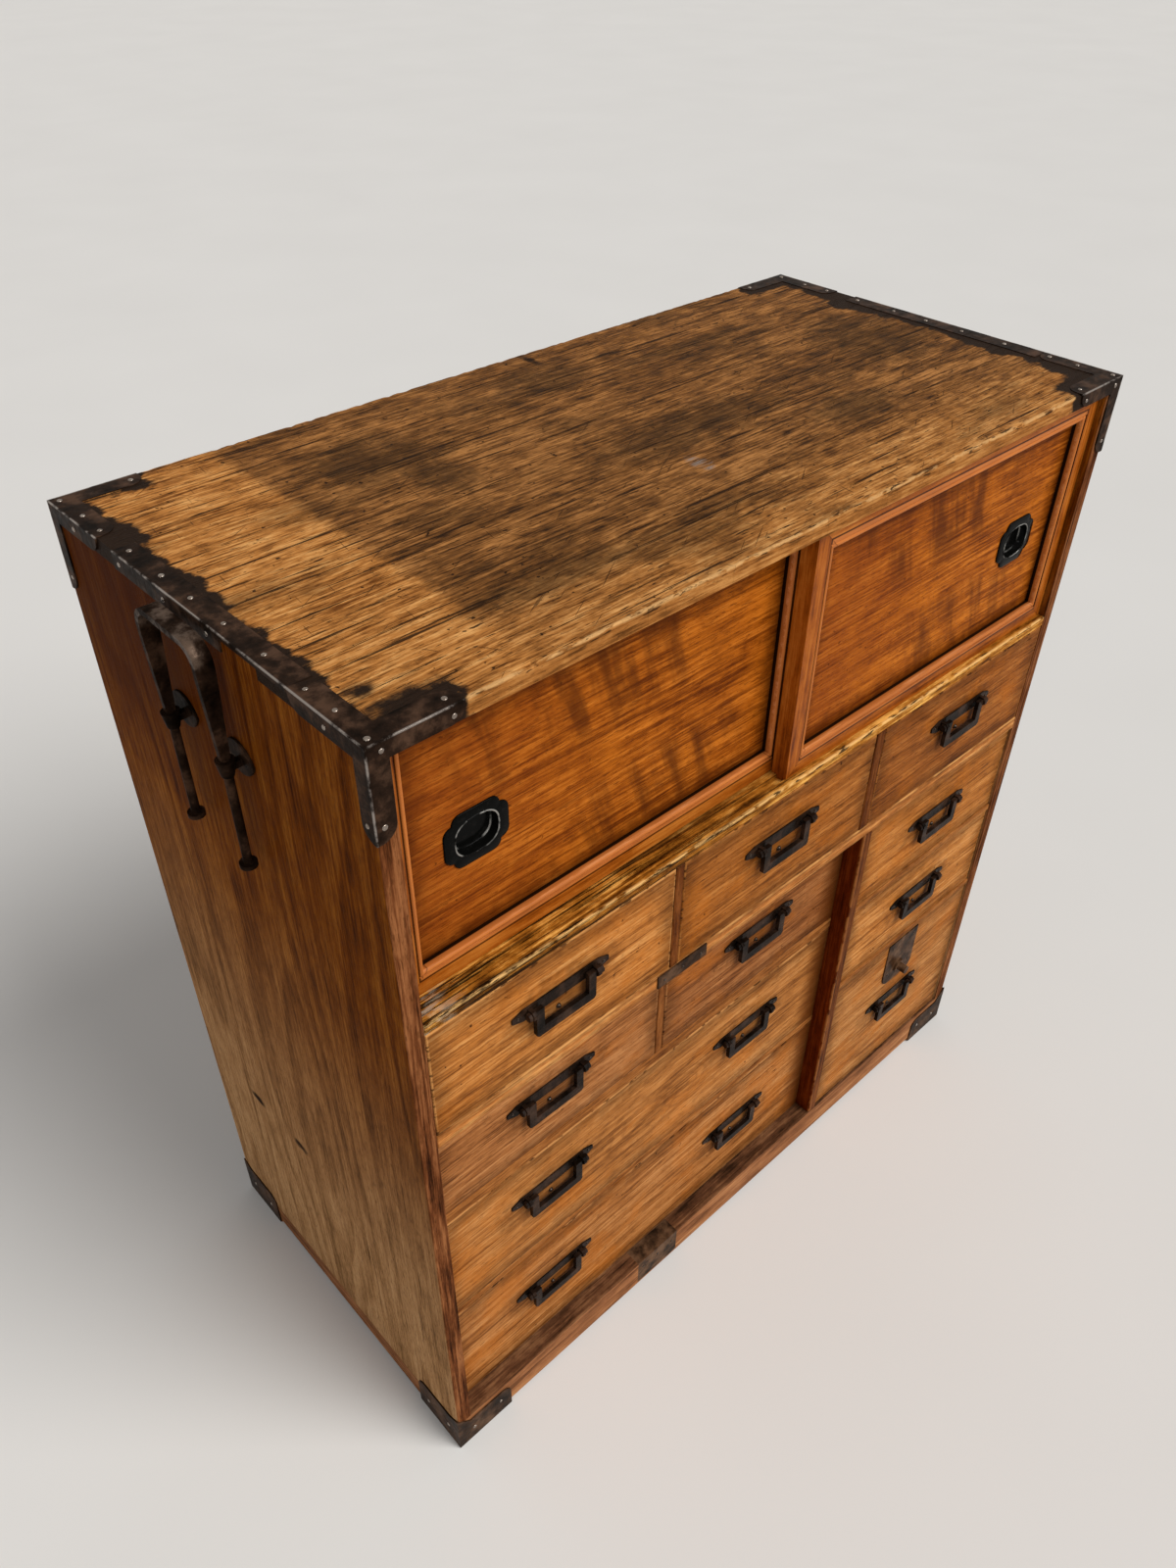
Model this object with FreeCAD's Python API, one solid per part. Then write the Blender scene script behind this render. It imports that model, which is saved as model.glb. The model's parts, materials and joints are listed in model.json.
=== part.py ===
import FreeCAD, Part

import math
import os

from FreeCAD import Vector

# All sizes are in millimetres. x runs to the right, y to the back, z up from the floor.

# Wooden case
WIDTH = 847.0
DEPTH = 412.0
HEIGHT = 911.0
SIDE = 16.0
TOP = 14.0
BACK = 8.0
BACK_BOARDS = 4
REBATE = 8.0
HOUSING = 5.0
DADO = 3.0
HOUSING_STOP = 14.0
FINGERS = 7
WORN_EDGE = 2.0
ARRIS = 0.8

# Base
BASE = 47.0
SIDE_RAIL = 35.0
FRONT_RAIL_DEEP = 30.0
BACK_RAIL_DEEP = 20.0
FOOT_RELIEF = 6.0

# Heights of the openings and the boards between them
DOOR_SHELF = 10.5
ROW_ONE = 120.5
ROW_ONE_SHELF = 14.5
ROW_TWO = 132.0
WIDE_LOWER = 162.0
WIDE_UPPER = 149.0
RIGHT_LOWER = 220.0
RIGHT_MIDDLE = 115.0
THIN_BOARD = 8.0
LEFT_RAIL = 14.0

# Widths of the openings and the uprights between them
LEFT_BAY = 540.5
MAIN_DIVIDER = 13.0
TOP_LEFT = 256.5
LEFT_UPPER = 266.5
THIN_DIVIDER = 9.0

# Distances of the faces behind the front of the case
ROW_ONE_SET = 0.5
LEFT_SET = 20.0
RIGHT_SET = 3.0
RIGHT_BOARD_SET = 1.5

# Drawers
DRAWER_FRONT = 17.0
DRAWER_LAP = 9.0
DRAWER_SIDE = 8.0
DRAWER_BOTTOM = 6.0
DRAWER_SIDE_DROP = 2.0
SIDE_GAP = 0.8
TOP_GAP = 1.2
RUN_GAP = 0.3
DRAWER_BACK_GAP = 6.0

# Drawer pulls
PULL_PLATE_LONG = 102.0
PULL_PLATE_HIGH = 13.0
PULL_PLATE_THICK = 1.5
PULL_TAPER = 11.0
PULL_TIP_HIGH = 5.0
PULL_SPREAD = 275.0
PIVOT_OUT = 5.5
EYE_RADIUS = 4.5
EYE_WIDE = 4.0
BAIL_WIDE = 63.0
BAIL_LEG = 8.0
BAIL_BAR = 9.5
BAIL_DROP = 28.0
BAIL_TOP = 3.0
BAIL_THICK = 4.4
BAIL_CLIP = 2.2
TRUNNION = 2.0
FIT = 0.1
PLAY = 0.3
BUTTON_RADIUS = 3.6
BUTTON_LONG = 3.0

# Sliding doors
DOOR_OVERLAP = 17.0
DOOR_SET = 7.0
DOOR_THICK = 16.0
DOOR_GAP = 1.5
DOOR_PLAY = 0.5
TRACK_INSET = 1.3
TRACK_WIDE = 9.0
TRACK_DEEP = 3.0
TOP_TRACK_DEEP = 8.0
TONGUE_UP = 5.0
FRAME_FLAT = 15.8
QUIRK = 0.8
BEAD = 4.2
PANEL_SET = 9.0
PANEL_THICK = 5.0
PANEL_LET_IN = 6.0
PANEL_SWELL = 1.0

# Finger cups of the doors
CUP_FROM_SIDE = 81.0
CUP_BELOW_MIDDLE = 8.25
CUP_LONG = 57.0
CUP_HIGH = 48.0
CUP_NOTCH_X = 6.0
CUP_NOTCH_Z = 9.0
CUP_ROUND_ENDS = 9.0
CUP_ROUND_MIDDLE = 11.0
CUP_RIM_X = 9.25
CUP_RIM_Z = 8.0
CUP_HOLLOW_NOTCH_X = 4.75
CUP_HOLLOW_NOTCH_Z = 6.5
CUP_FLANGE = 1.5
CUP_WALL = 1.2
CUP_FLOOR = 1.0

# Sheet iron bindings
IRON = 1.5
SEAM = 0.3
TOP_IRON_FRONT = 72.0
TOP_IRON_SIDE = 81.0
TOP_IRON_WIDE = 19.0
TOP_IRON_DROP = 75.0
FRONT_IRON_BAND = 15.0
FRONT_IRON_LEG = 16.0
SIDE_IRON_LEG = 14.0
IRON_END_ROUND = 12.5
MID_PLATE_LONG = 147.0
MID_PLATE_FOLD = 15.0
EDGE_STRIP_FOLD = 5.0
FOOT_IRON_FRONT = 69.0
FOOT_IRON_SIDE = 68.0
FOOT_IRON_FRONT_HIGH = 40.0
FOOT_IRON_SIDE_HIGH = 50.0
FOOT_SPUR_HIGH = 58.0
FOOT_IRON_LIFT = 1.0
KEEPER_FROM_LEFT = 240.5
KEEPER_LONG = 62.0
SILL_PLATE_FRONT = 38.0
SILL_PLATE_TOP = 19.5

# Carrying handles
STRAP_WIDE = 13.5
STRAP_FOOT_WIDE = 7.0
STRAP_THICK = 5.0
STRAP_BEND = 18.0
STRAP_STRAIGHT = 25.0
HANDLE_TOP_GAP = 6.0
ROD_SPACING = 77.0
ROD_RADIUS = 3.5
ROD_OUT = 12.0
ROD_END_BELOW_TOP = 197.0
ROD_HEAD_RADIUS = 6.8
ROD_HEAD_HIGH = 4.0
BOLT_EYE_BELOW_TOP = 105.5
BOLT_EYE_HIGH = 14.0
BOLT_EYE_TOP_RADIUS = 7.2
BOLT_EYE_FOOT_RADIUS = 4.8
BOLT_NECK_WIDE = 6.0
LEAF_RISE = 3.5
LEAF_LONG = 38.0
LEAF_HIGH = 28.0
LEAF_THICK = 2.0

# Lock of the lower right drawer
LOCK_PLATE_LONG = 58.0
LOCK_PLATE_HIGH = 72.0
LOCK_PLATE_DOWN = 3.5
LOCK_PLATE_ROUND = 14.0
LOCK_TURN_UP = 21.0
KNOB_COLLAR_RADIUS = 9.0
KNOB_COLLAR_LONG = 2.5
KNOB_RADIUS = 5.3
KNOB_REACH = 14.0
SPINDLE_RADIUS = 3.4
LOCK_TONGUE_WIDE = 8.0
LOCK_TONGUE_THICK = 3.0
LOCK_BITE = 4.0
MORTISE_EASE = 0.8

# Drawer pull heights above the middle of each drawer opening
PULL_RISE = {
    "top_left": 12.0,
    "top_middle": 16.0,
    "top_right": 14.0,
    "left_upper": 7.0,
    "middle_upper": 14.0,
    "wide_upper": 20.0,
    "wide_lower": 15.0,
    "right_upper": 7.5,
    "right_middle": 11.0,
    "right_lower": 4.6,
}

# Planes worked out from the sizes above
FRONT_REACH = max(KNOB_REACH - RIGHT_SET, PIVOT_OUT + EYE_RADIUS - ROW_ONE_SET)
Y_MIDDLE = (FRONT_REACH - IRON) / 2
Y_FRONT = Y_MIDDLE - DEPTH / 2
Y_BACK = Y_MIDDLE + DEPTH / 2
Y_INNER = Y_BACK - BACK
X_SIDE = WIDTH / 2
X_INNER = X_SIDE - SIDE
X_MAIN = -X_INNER + LEFT_BAY
X_RIGHT_BAY = X_MAIN + MAIN_DIVIDER
X_DIVIDER_ONE = -X_INNER + TOP_LEFT
X_DIVIDER_TWO = X_MAIN - MAIN_DIVIDER
X_DIVIDER_LOW = -X_INNER + LEFT_UPPER
Z_WIDE_LOWER_TOP = BASE + WIDE_LOWER
Z_WIDE_UPPER = Z_WIDE_LOWER_TOP + THIN_BOARD
Z_WIDE_UPPER_TOP = Z_WIDE_UPPER + WIDE_UPPER
Z_LEFT_UPPER = Z_WIDE_UPPER_TOP + LEFT_RAIL
Z_BAY_TOP = Z_LEFT_UPPER + ROW_TWO
Z_ROW_ONE = Z_BAY_TOP + ROW_ONE_SHELF
Z_ROW_ONE_TOP = Z_ROW_ONE + ROW_ONE
Z_DOOR_SILL = Z_ROW_ONE_TOP + DOOR_SHELF
Z_CEILING = HEIGHT - TOP
Z_DOOR_MIDDLE = (Z_DOOR_SILL + Z_CEILING) / 2
Z_RIGHT_LOWER_TOP = BASE + RIGHT_LOWER
Z_RIGHT_MIDDLE = Z_RIGHT_LOWER_TOP + THIN_BOARD
Z_RIGHT_MIDDLE_TOP = Z_RIGHT_MIDDLE + RIGHT_MIDDLE
Z_RIGHT_UPPER = Z_RIGHT_MIDDLE_TOP + THIN_BOARD
FOOT_FRONT = FOOT_IRON_FRONT - IRON
FOOT_SIDE = FOOT_IRON_SIDE - IRON
FRAME_WIDE = FRAME_FLAT + QUIRK + BEAD
DOOR_WIDE = X_INNER + DOOR_OVERLAP / 2 - DOOR_PLAY
DOOR_FACES = {"right": Y_FRONT + DOOR_SET, "left": Y_FRONT + DOOR_SET + DOOR_THICK + DOOR_GAP}
Z_DOOR = (Z_DOOR_SILL + DOOR_PLAY, Z_CEILING - DOOR_PLAY)
BOLT_EYE_MIDDLE = HEIGHT - BOLT_EYE_BELOW_TOP
ROD_END = HEIGHT - ROD_END_BELOW_TOP
LOCK_X = (X_RIGHT_BAY + X_INNER) / 2
LOCK_FACE = Y_FRONT + RIGHT_SET
Z_LOCK_PLATE_TOP = Z_RIGHT_LOWER_TOP - LOCK_PLATE_DOWN
Z_LOCK_PLATE = Z_LOCK_PLATE_TOP - LOCK_PLATE_HIGH
Z_LOCK = Z_LOCK_PLATE + LOCK_TURN_UP
TONGUE_LONG = Z_RIGHT_LOWER_TOP + LOCK_BITE - Z_LOCK

# Each drawer opening: x range, z range, distance of the face behind the case front
OPENINGS = {
    "top_left": ((-X_INNER, X_DIVIDER_ONE), (Z_ROW_ONE, Z_ROW_ONE_TOP), ROW_ONE_SET),
    "top_middle": ((X_DIVIDER_ONE + THIN_DIVIDER, X_DIVIDER_TWO), (Z_ROW_ONE, Z_ROW_ONE_TOP), ROW_ONE_SET),
    "top_right": ((X_MAIN, X_INNER), (Z_ROW_ONE, Z_ROW_ONE_TOP), ROW_ONE_SET),
    "left_upper": ((-X_INNER, X_DIVIDER_LOW), (Z_LEFT_UPPER, Z_BAY_TOP), LEFT_SET),
    "middle_upper": ((X_DIVIDER_LOW + THIN_DIVIDER, X_MAIN), (Z_LEFT_UPPER, Z_BAY_TOP), LEFT_SET),
    "wide_upper": ((-X_INNER, X_MAIN), (Z_WIDE_UPPER, Z_WIDE_UPPER_TOP), LEFT_SET),
    "wide_lower": ((-X_INNER, X_MAIN), (BASE, Z_WIDE_LOWER_TOP), LEFT_SET),
    "right_upper": ((X_RIGHT_BAY, X_INNER), (Z_RIGHT_UPPER, Z_BAY_TOP), RIGHT_SET),
    "right_middle": ((X_RIGHT_BAY, X_INNER), (Z_RIGHT_MIDDLE, Z_RIGHT_MIDDLE_TOP), RIGHT_SET),
    "right_lower": ((X_RIGHT_BAY, X_INNER), (BASE, Z_RIGHT_LOWER_TOP), RIGHT_SET),
}

X_AXIS = Vector(1, 0, 0)
Y_AXIS = Vector(0, 1, 0)
Z_AXIS = Vector(0, 0, 1)

# A drawing view turns two drawn coordinates and a depth into a point
VIEWS = {
    "front": lambda u, v, depth: Vector(u, depth, v),
    "side": lambda u, v, depth: Vector(depth, u, v),
    "top": lambda u, v, depth: Vector(u, v, depth),
}


# Shared shapes

def slab(x, y, z):
    """Box between pairs of coordinates."""
    return Part.makeBox(x[1] - x[0], y[1] - y[0], z[1] - z[0], Vector(x[0], y[0], z[0]))


def corner_edges(before, corner, after, radius):
    """Ends of a rounded corner and the arc between them."""
    back = (before - corner).normalize()
    ahead = (after - corner).normalize()
    half = back.getAngle(ahead) / 2
    start = corner + back * (radius / math.tan(half))
    end = corner + ahead * (radius / math.tan(half))
    middle = corner + (back + ahead).normalize() * (radius / math.sin(half) - radius)
    return start, end, Part.Arc(start, middle, end).toShape()


def rounded_face(corners):
    """Face inside a closed line of (point, corner radius) pairs."""
    pieces = []
    for index, (point, radius) in enumerate(corners):
        before = corners[index - 1][0]
        after = corners[(index + 1) % len(corners)][0]
        if radius > 0:
            pieces.append(corner_edges(before, point, after, radius))
        else:
            pieces.append((point, point, None))
    edges = []
    for index, (start, end, arc) in enumerate(pieces):
        leave = pieces[index - 1][1]
        if leave.distanceToPoint(start) > 1e-6:
            edges.append(Part.LineSegment(leave, start).toShape())
        if arc:
            edges.append(arc)
    return Part.Face(Part.Wire(edges))


def plate(view, corners, start, thickness):
    """Solid from (u, v, radius) corners drawn in a view, from a start depth through a thickness."""
    place = VIEWS[view]
    points = [(place(u, v, start), radius) for u, v, radius in corners]
    return rounded_face(points).extrude(place(0, 0, thickness))


def rectangle(u, v, radius=0):
    """Corners of a rectangle with one radius."""
    return [(u[0], v[0], radius), (u[1], v[0], radius), (u[1], v[1], radius), (u[0], v[1], radius)]


def eased(shape, face_y):
    """Shape with the edges of its front face chamfered."""
    front_edges = [
        edge for edge in shape.Edges
        if all(abs(vertex.Y - face_y) < 1e-6 for vertex in edge.Vertexes)
    ]
    return shape.makeChamfer(ARRIS, front_edges)


def across(shape):
    """Mirror image on the other side of the chest."""
    return shape.mirror(Vector(0, 0, 0), X_AXIS)


def turned_about(shape):
    """Mirror image between front and back of the case."""
    return shape.mirror(Vector(0, Y_MIDDLE, 0), Y_AXIS)


def octagon_flat(radius):
    """Half the length of one flat of an octagon with this radius to its flats."""
    return radius * math.tan(math.pi / 8)


def forged_button(centre, start, length, radius):
    """Eight-sided button along x."""
    y, z = centre.y, centre.z
    flat = octagon_flat(radius)
    corners = [
        (y - radius, z - flat, 0), (y - flat, z - radius, 0), (y + flat, z - radius, 0),
        (y + radius, z - flat, 0), (y + radius, z + flat, 0), (y + flat, z + radius, 0),
        (y - flat, z + radius, 0), (y - radius, z + flat, 0),
    ]
    return plate("side", corners, start, length)


# Case boards

def shelf(left, right, front, z):
    """Board whose ends are let into their uprights behind a short front shoulder."""
    stop = front + HOUSING_STOP
    corners = [
        (left, front, 0), (right, front, 0), (right, stop, 0), (right + HOUSING, stop, 0),
        (right + HOUSING, Y_INNER, 0), (left - HOUSING, Y_INNER, 0), (left - HOUSING, stop, 0),
        (left, stop, 0),
    ]
    return eased(plate("top", corners, z[0], z[1] - z[0]), front)


def upright(x, front, z, foot_dado):
    """Divider whose top, and foot where asked, is let into a shelf behind a front shoulder."""
    stop = front + HOUSING_STOP
    corners = [
        (front, z[0], 0), (front, z[1], 0), (stop, z[1], 0), (stop, z[1] + DADO, 0),
        (Y_INNER, z[1] + DADO, 0), (Y_INNER, z[0] - foot_dado, 0),
        (stop, z[0] - foot_dado, 0), (stop, z[0], 0),
    ]
    if foot_dado == 0:
        corners = corners[:5] + [(Y_INNER, z[0], 0)]
    return eased(plate("side", corners, x[0], x[1] - x[0]), front)


def make_dividers():
    row_one = [
        upright((left, left + wide), Y_FRONT, (Z_ROW_ONE, Z_ROW_ONE_TOP), DADO)
        for left, wide in ((X_DIVIDER_ONE, THIN_DIVIDER), (X_DIVIDER_TWO, MAIN_DIVIDER))
    ]
    low_x = (X_DIVIDER_LOW, X_DIVIDER_LOW + THIN_DIVIDER)
    row_two = upright(low_x, Y_FRONT + LEFT_SET, (Z_LEFT_UPPER, Z_BAY_TOP), DADO)
    main = upright((X_MAIN, X_RIGHT_BAY), Y_FRONT, (BASE, Z_BAY_TOP), 0)
    return row_one, row_two, main


def make_left_boards(row_two):
    lower = shelf(-X_INNER, X_MAIN, Y_FRONT + LEFT_SET, (Z_WIDE_LOWER_TOP, Z_WIDE_UPPER))
    upper = shelf(-X_INNER, X_MAIN, Y_FRONT + LEFT_SET, (Z_WIDE_UPPER_TOP, Z_LEFT_UPPER))
    return [lower, upper.cut(row_two)]


def lock_mortise():
    """Slot above the lock that the turned tongue swings into."""
    drop = Z_RIGHT_LOWER_TOP - Z_LOCK
    reach = math.sqrt(TONGUE_LONG ** 2 + (LOCK_TONGUE_WIDE / 2) ** 2)
    swing = math.sqrt(reach ** 2 - drop ** 2) + LOCK_TONGUE_WIDE
    near = LOCK_FACE + DRAWER_FRONT + PLAY - MORTISE_EASE
    far = near + LOCK_TONGUE_THICK + 2 * MORTISE_EASE
    left = LOCK_X - swing
    right = LOCK_X + LOCK_TONGUE_WIDE / 2 + MORTISE_EASE
    top = Z_RIGHT_LOWER_TOP + LOCK_BITE + MORTISE_EASE
    return slab((left, right), (near, far), (Z_RIGHT_LOWER_TOP, top))


def make_right_boards():
    front = Y_FRONT + RIGHT_BOARD_SET
    lower = shelf(X_RIGHT_BAY, X_INNER, front, (Z_RIGHT_LOWER_TOP, Z_RIGHT_MIDDLE))
    upper = shelf(X_RIGHT_BAY, X_INNER, front, (Z_RIGHT_MIDDLE_TOP, Z_RIGHT_UPPER))
    return [lower.cut(lock_mortise()), upper]


def door_track(door_face, z):
    """Groove that one door runs in."""
    near = door_face + TRACK_INSET
    return slab((-X_INNER, X_INNER), (near, near + TRACK_WIDE), z)


def make_door_shelf(row_one):
    board = shelf(-X_INNER, X_INNER, Y_FRONT, (Z_ROW_ONE_TOP, Z_DOOR_SILL))
    tracks = [door_track(face, (Z_DOOR_SILL - TRACK_DEEP, Z_DOOR_SILL)) for face in DOOR_FACES.values()]
    return board.cut(tracks + row_one)


def make_row_one_shelf(uprights):
    board = shelf(-X_INNER, X_INNER, Y_FRONT, (Z_BAY_TOP, Z_ROW_ONE))
    return board.cut(uprights)


def make_bottom_board():
    ends = X_INNER + HOUSING
    return slab((-ends, ends), (Y_FRONT + FRONT_RAIL_DEEP, Y_INNER), (SIDE_RAIL, BASE))


def finger_slots(first, z):
    """Boxes at every second finger place along the left top edge."""
    step = DEPTH / FINGERS
    return [
        slab((-X_SIDE, -X_INNER), (Y_FRONT + step * place, Y_FRONT + step * (place + 1)), z)
        for place in range(first, FINGERS, 2)
    ]


def make_top_board():
    board = slab((-X_SIDE, X_SIDE), (Y_FRONT, Y_BACK), (Z_CEILING, HEIGHT))
    slots = finger_slots(0, (Z_CEILING, HEIGHT))
    tracks = [door_track(face, (Z_CEILING, Z_CEILING + TOP_TRACK_DEEP)) for face in DOOR_FACES.values()]
    return board.cut(slots + [across(slot) for slot in slots] + tracks)


def make_left_side(boards):
    section = [
        (-X_SIDE, Y_FRONT, WORN_EDGE), (-X_INNER, Y_FRONT, ARRIS),
        (-X_INNER, Y_BACK, 0), (-X_SIDE, Y_BACK, 0),
    ]
    board = plate("top", section, SIDE_RAIL, HEIGHT - SIDE_RAIL)
    rail_notch = slab((-X_SIDE, -X_INNER), (Y_FRONT, Y_FRONT + FRONT_RAIL_DEEP), (SIDE_RAIL, BASE))
    rebate = slab((-X_INNER - REBATE, -X_INNER), (Y_INNER, Y_BACK), (SIDE_RAIL, Z_CEILING))
    return board.cut(finger_slots(1, (Z_CEILING, HEIGHT)) + [rail_notch, rebate] + boards)


def make_back_boards():
    ends = X_INNER + REBATE
    high = (Z_CEILING - SIDE_RAIL) / BACK_BOARDS
    return [
        slab((-ends, ends), (Y_INNER, Y_BACK), (SIDE_RAIL + high * row, SIDE_RAIL + high * (row + 1)))
        for row in range(BACK_BOARDS)
    ]


def footed_rail(view, ends, foot, top, start, thickness):
    """Rail standing on a foot at each end, relieved between them."""
    corners = [
        (ends[0], 0, 0), (ends[0] + foot, 0, 0), (ends[0] + foot, FOOT_RELIEF, 0),
        (ends[1] - foot, FOOT_RELIEF, 0), (ends[1] - foot, 0, 0), (ends[1], 0, 0),
        (ends[1], top, 0), (ends[0], top, 0),
    ]
    return plate(view, corners, start, thickness)


def side_rail():
    """Left side rail between the front and back rails, its foot carrying on from theirs."""
    near = Y_FRONT + FRONT_RAIL_DEEP
    far = Y_BACK - BACK_RAIL_DEEP
    near_foot = Y_FRONT + FOOT_SIDE
    far_foot = Y_BACK - FOOT_SIDE
    corners = [
        (near, 0, 0), (near_foot, 0, 0), (near_foot, FOOT_RELIEF, 0),
        (far_foot, FOOT_RELIEF, 0), (far_foot, 0, 0), (far, 0, 0),
        (far, SIDE_RAIL, 0), (near, SIDE_RAIL, 0),
    ]
    return plate("side", corners, -X_SIDE, SIDE)


def make_base(sill_plate):
    ends = (-X_SIDE, X_SIDE)
    front = eased(footed_rail("front", ends, FOOT_FRONT, BASE, Y_FRONT, FRONT_RAIL_DEEP), Y_FRONT)
    back = footed_rail("front", ends, FOOT_FRONT, SIDE_RAIL, Y_BACK - BACK_RAIL_DEEP, BACK_RAIL_DEEP)
    left = side_rail()
    return [front.cut(sill_plate), back, left, across(left)]


# Sliding doors

def moulded_section(corner, inward):
    """Frame section from its outer front corner: flat face, quirk, round bead."""
    radius = BEAD / 2

    def at(across_frame, depth):
        return corner + inward * across_frame + Y_AXIS * depth

    outline = [
        (FRAME_WIDE, radius), (FRAME_WIDE, DOOR_THICK), (0, DOOR_THICK), (0, 0),
        (FRAME_FLAT, 0), (FRAME_FLAT, radius), (FRAME_FLAT + QUIRK, radius),
    ]
    points = [at(*pair) for pair in outline]
    lines = [Part.LineSegment(a, b).toShape() for a, b in zip(points, points[1:])]
    bead = Part.Arc(points[-1], at(FRAME_FLAT + QUIRK + radius, 0), points[0]).toShape()
    return Part.Face(Part.Wire(lines + [bead]))


def frame_member(corner, inward, along, length):
    """One side of a door frame, mitred at both ends."""
    bar = moulded_section(corner, inward).extrude(along * length)
    inner = corner + inward * FRAME_WIDE
    near = inner + along * FRAME_WIDE
    far = inner + along * (length - FRAME_WIDE)
    mitre = Part.makePolygon([corner, near, far, corner + along * length, corner])
    limit = Part.Face(mitre).extrude(Y_AXIS * DOOR_THICK)
    return bar.common(limit)


def door_range(hand):
    """x range of a closed door."""
    outer = X_INNER - DOOR_PLAY
    if hand == "right":
        return (outer - DOOR_WIDE, outer)
    return (-outer, -outer + DOOR_WIDE)


def door_tongue(hand, z):
    """Tongue along the top or bottom of a door."""
    near = DOOR_FACES[hand] + TRACK_INSET + PLAY
    return slab(door_range(hand), (near, near + TRACK_WIDE - 2 * PLAY), z)


def make_door_frame(hand):
    x = door_range(hand)
    face = DOOR_FACES[hand]
    high = Z_DOOR[1] - Z_DOOR[0]
    stiles = [
        frame_member(Vector(x[0], face, Z_DOOR[0]), X_AXIS, Z_AXIS, high),
        frame_member(Vector(x[1], face, Z_DOOR[0]), -X_AXIS, Z_AXIS, high),
    ]
    foot = frame_member(Vector(x[0], face, Z_DOOR[0]), Z_AXIS, X_AXIS, x[1] - x[0])
    head = frame_member(Vector(x[0], face, Z_DOOR[1]), -Z_AXIS, X_AXIS, x[1] - x[0])
    foot = foot.fuse(door_tongue(hand, (Z_DOOR_SILL - TRACK_DEEP + PLAY, Z_DOOR[0])))
    head = head.fuse(door_tongue(hand, (Z_DOOR[1], Z_DOOR[1] + TONGUE_UP)))
    pocket = panel_slab(hand, PANEL_LET_IN)
    return [member.cut(pocket) for member in stiles + [foot, head]]


def panel_slab(hand, let_in):
    """Panel that reaches a given distance under its frame."""
    x = door_range(hand)
    edge = FRAME_WIDE - let_in
    near = DOOR_FACES[hand] + PANEL_SET
    return slab(
        (x[0] + edge, x[1] - edge), (near, near + PANEL_THICK), (Z_DOOR[0] + edge, Z_DOOR[1] - edge)
    )


def notched_outline(centre, half_x, half_z, notch, rounds, depth):
    """Two crossed rounded plates, which leave the corners of their outline notched."""
    x, z = centre
    start, end = depth
    long = rectangle((x - half_x, x + half_x), (z - half_z + notch[1], z + half_z - notch[1]), rounds[0])
    tall = rectangle((x - half_x + notch[0], x + half_x - notch[0]), (z - half_z, z + half_z), rounds[1])
    return plate("front", long, start, end - start).fuse(plate("front", tall, start, end - start))


def cup_centre(hand):
    sign = 1 if hand == "right" else -1
    return (sign * (X_INNER - CUP_FROM_SIDE), Z_DOOR_MIDDLE - CUP_BELOW_MIDDLE)


def cup_shape(hand, wall, depth):
    """Hollow outline of a finger cup grown outwards by a wall."""
    half_x = CUP_LONG / 2 - CUP_RIM_X + wall
    half_z = CUP_HIGH / 2 - CUP_RIM_Z + wall
    notch = (CUP_HOLLOW_NOTCH_X, CUP_HOLLOW_NOTCH_Z)
    return notched_outline(cup_centre(hand), half_x, half_z, notch, (0, 0), depth)


def make_door_pull(hand):
    panel = DOOR_FACES[hand] + PANEL_SET
    back = DOOR_FACES[hand] + DOOR_THICK
    front = panel - CUP_FLANGE
    notch = (CUP_NOTCH_X, CUP_NOTCH_Z)
    rounds = (CUP_ROUND_ENDS, CUP_ROUND_MIDDLE)
    flange = notched_outline(cup_centre(hand), CUP_LONG / 2, CUP_HIGH / 2, notch, rounds, (front, panel))
    body = cup_shape(hand, CUP_WALL, (panel, back))
    hollow = cup_shape(hand, 0, (front, back - CUP_FLOOR))
    return flange.fuse(body).cut(hollow).removeSplitter()


def make_door_panel(hand):
    near = DOOR_FACES[hand] + PANEL_SET
    hole = cup_shape(hand, CUP_WALL, (near, near + PANEL_THICK))
    return panel_slab(hand, PANEL_LET_IN - PANEL_SWELL).cut(hole)


# Drawers

def drawer_box(name):
    """Outer ranges of a drawer inside its opening."""
    x, z, behind = OPENINGS[name]
    face = Y_FRONT + behind
    return (
        (x[0] + SIDE_GAP, x[1] - SIDE_GAP),
        (face, Y_INNER - DRAWER_BACK_GAP),
        (z[0] + RUN_GAP, z[1] - TOP_GAP),
    )


def drawer_front(x, face, z):
    """Front board rebated behind for the sides and the bottom."""
    board = eased(slab(x, (face, face + DRAWER_FRONT), z), face)
    lap = (face + DRAWER_FRONT - DRAWER_LAP, face + DRAWER_FRONT)
    left = slab((x[0], x[0] + DRAWER_SIDE), lap, z)
    right = slab((x[1] - DRAWER_SIDE, x[1]), lap, z)
    under = slab(x, lap, (z[0], z[0] + DRAWER_BOTTOM))
    return board.cut([left, right, under])


def make_drawer(name):
    x, y, z = drawer_box(name)
    lap = y[0] + DRAWER_FRONT - DRAWER_LAP
    wall_z = (z[0] + DRAWER_BOTTOM, z[1] - DRAWER_SIDE_DROP)
    inner_x = (x[0] + DRAWER_SIDE, x[1] - DRAWER_SIDE)
    return [
        drawer_front(x, y[0], z),
        slab((x[0], inner_x[0]), (lap, y[1]), wall_z),
        slab((inner_x[1], x[1]), (lap, y[1]), wall_z),
        slab(inner_x, (y[1] - DRAWER_SIDE, y[1]), wall_z),
        slab(x, (lap, y[1]), (z[0], z[0] + DRAWER_BOTTOM)),
    ]


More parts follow.
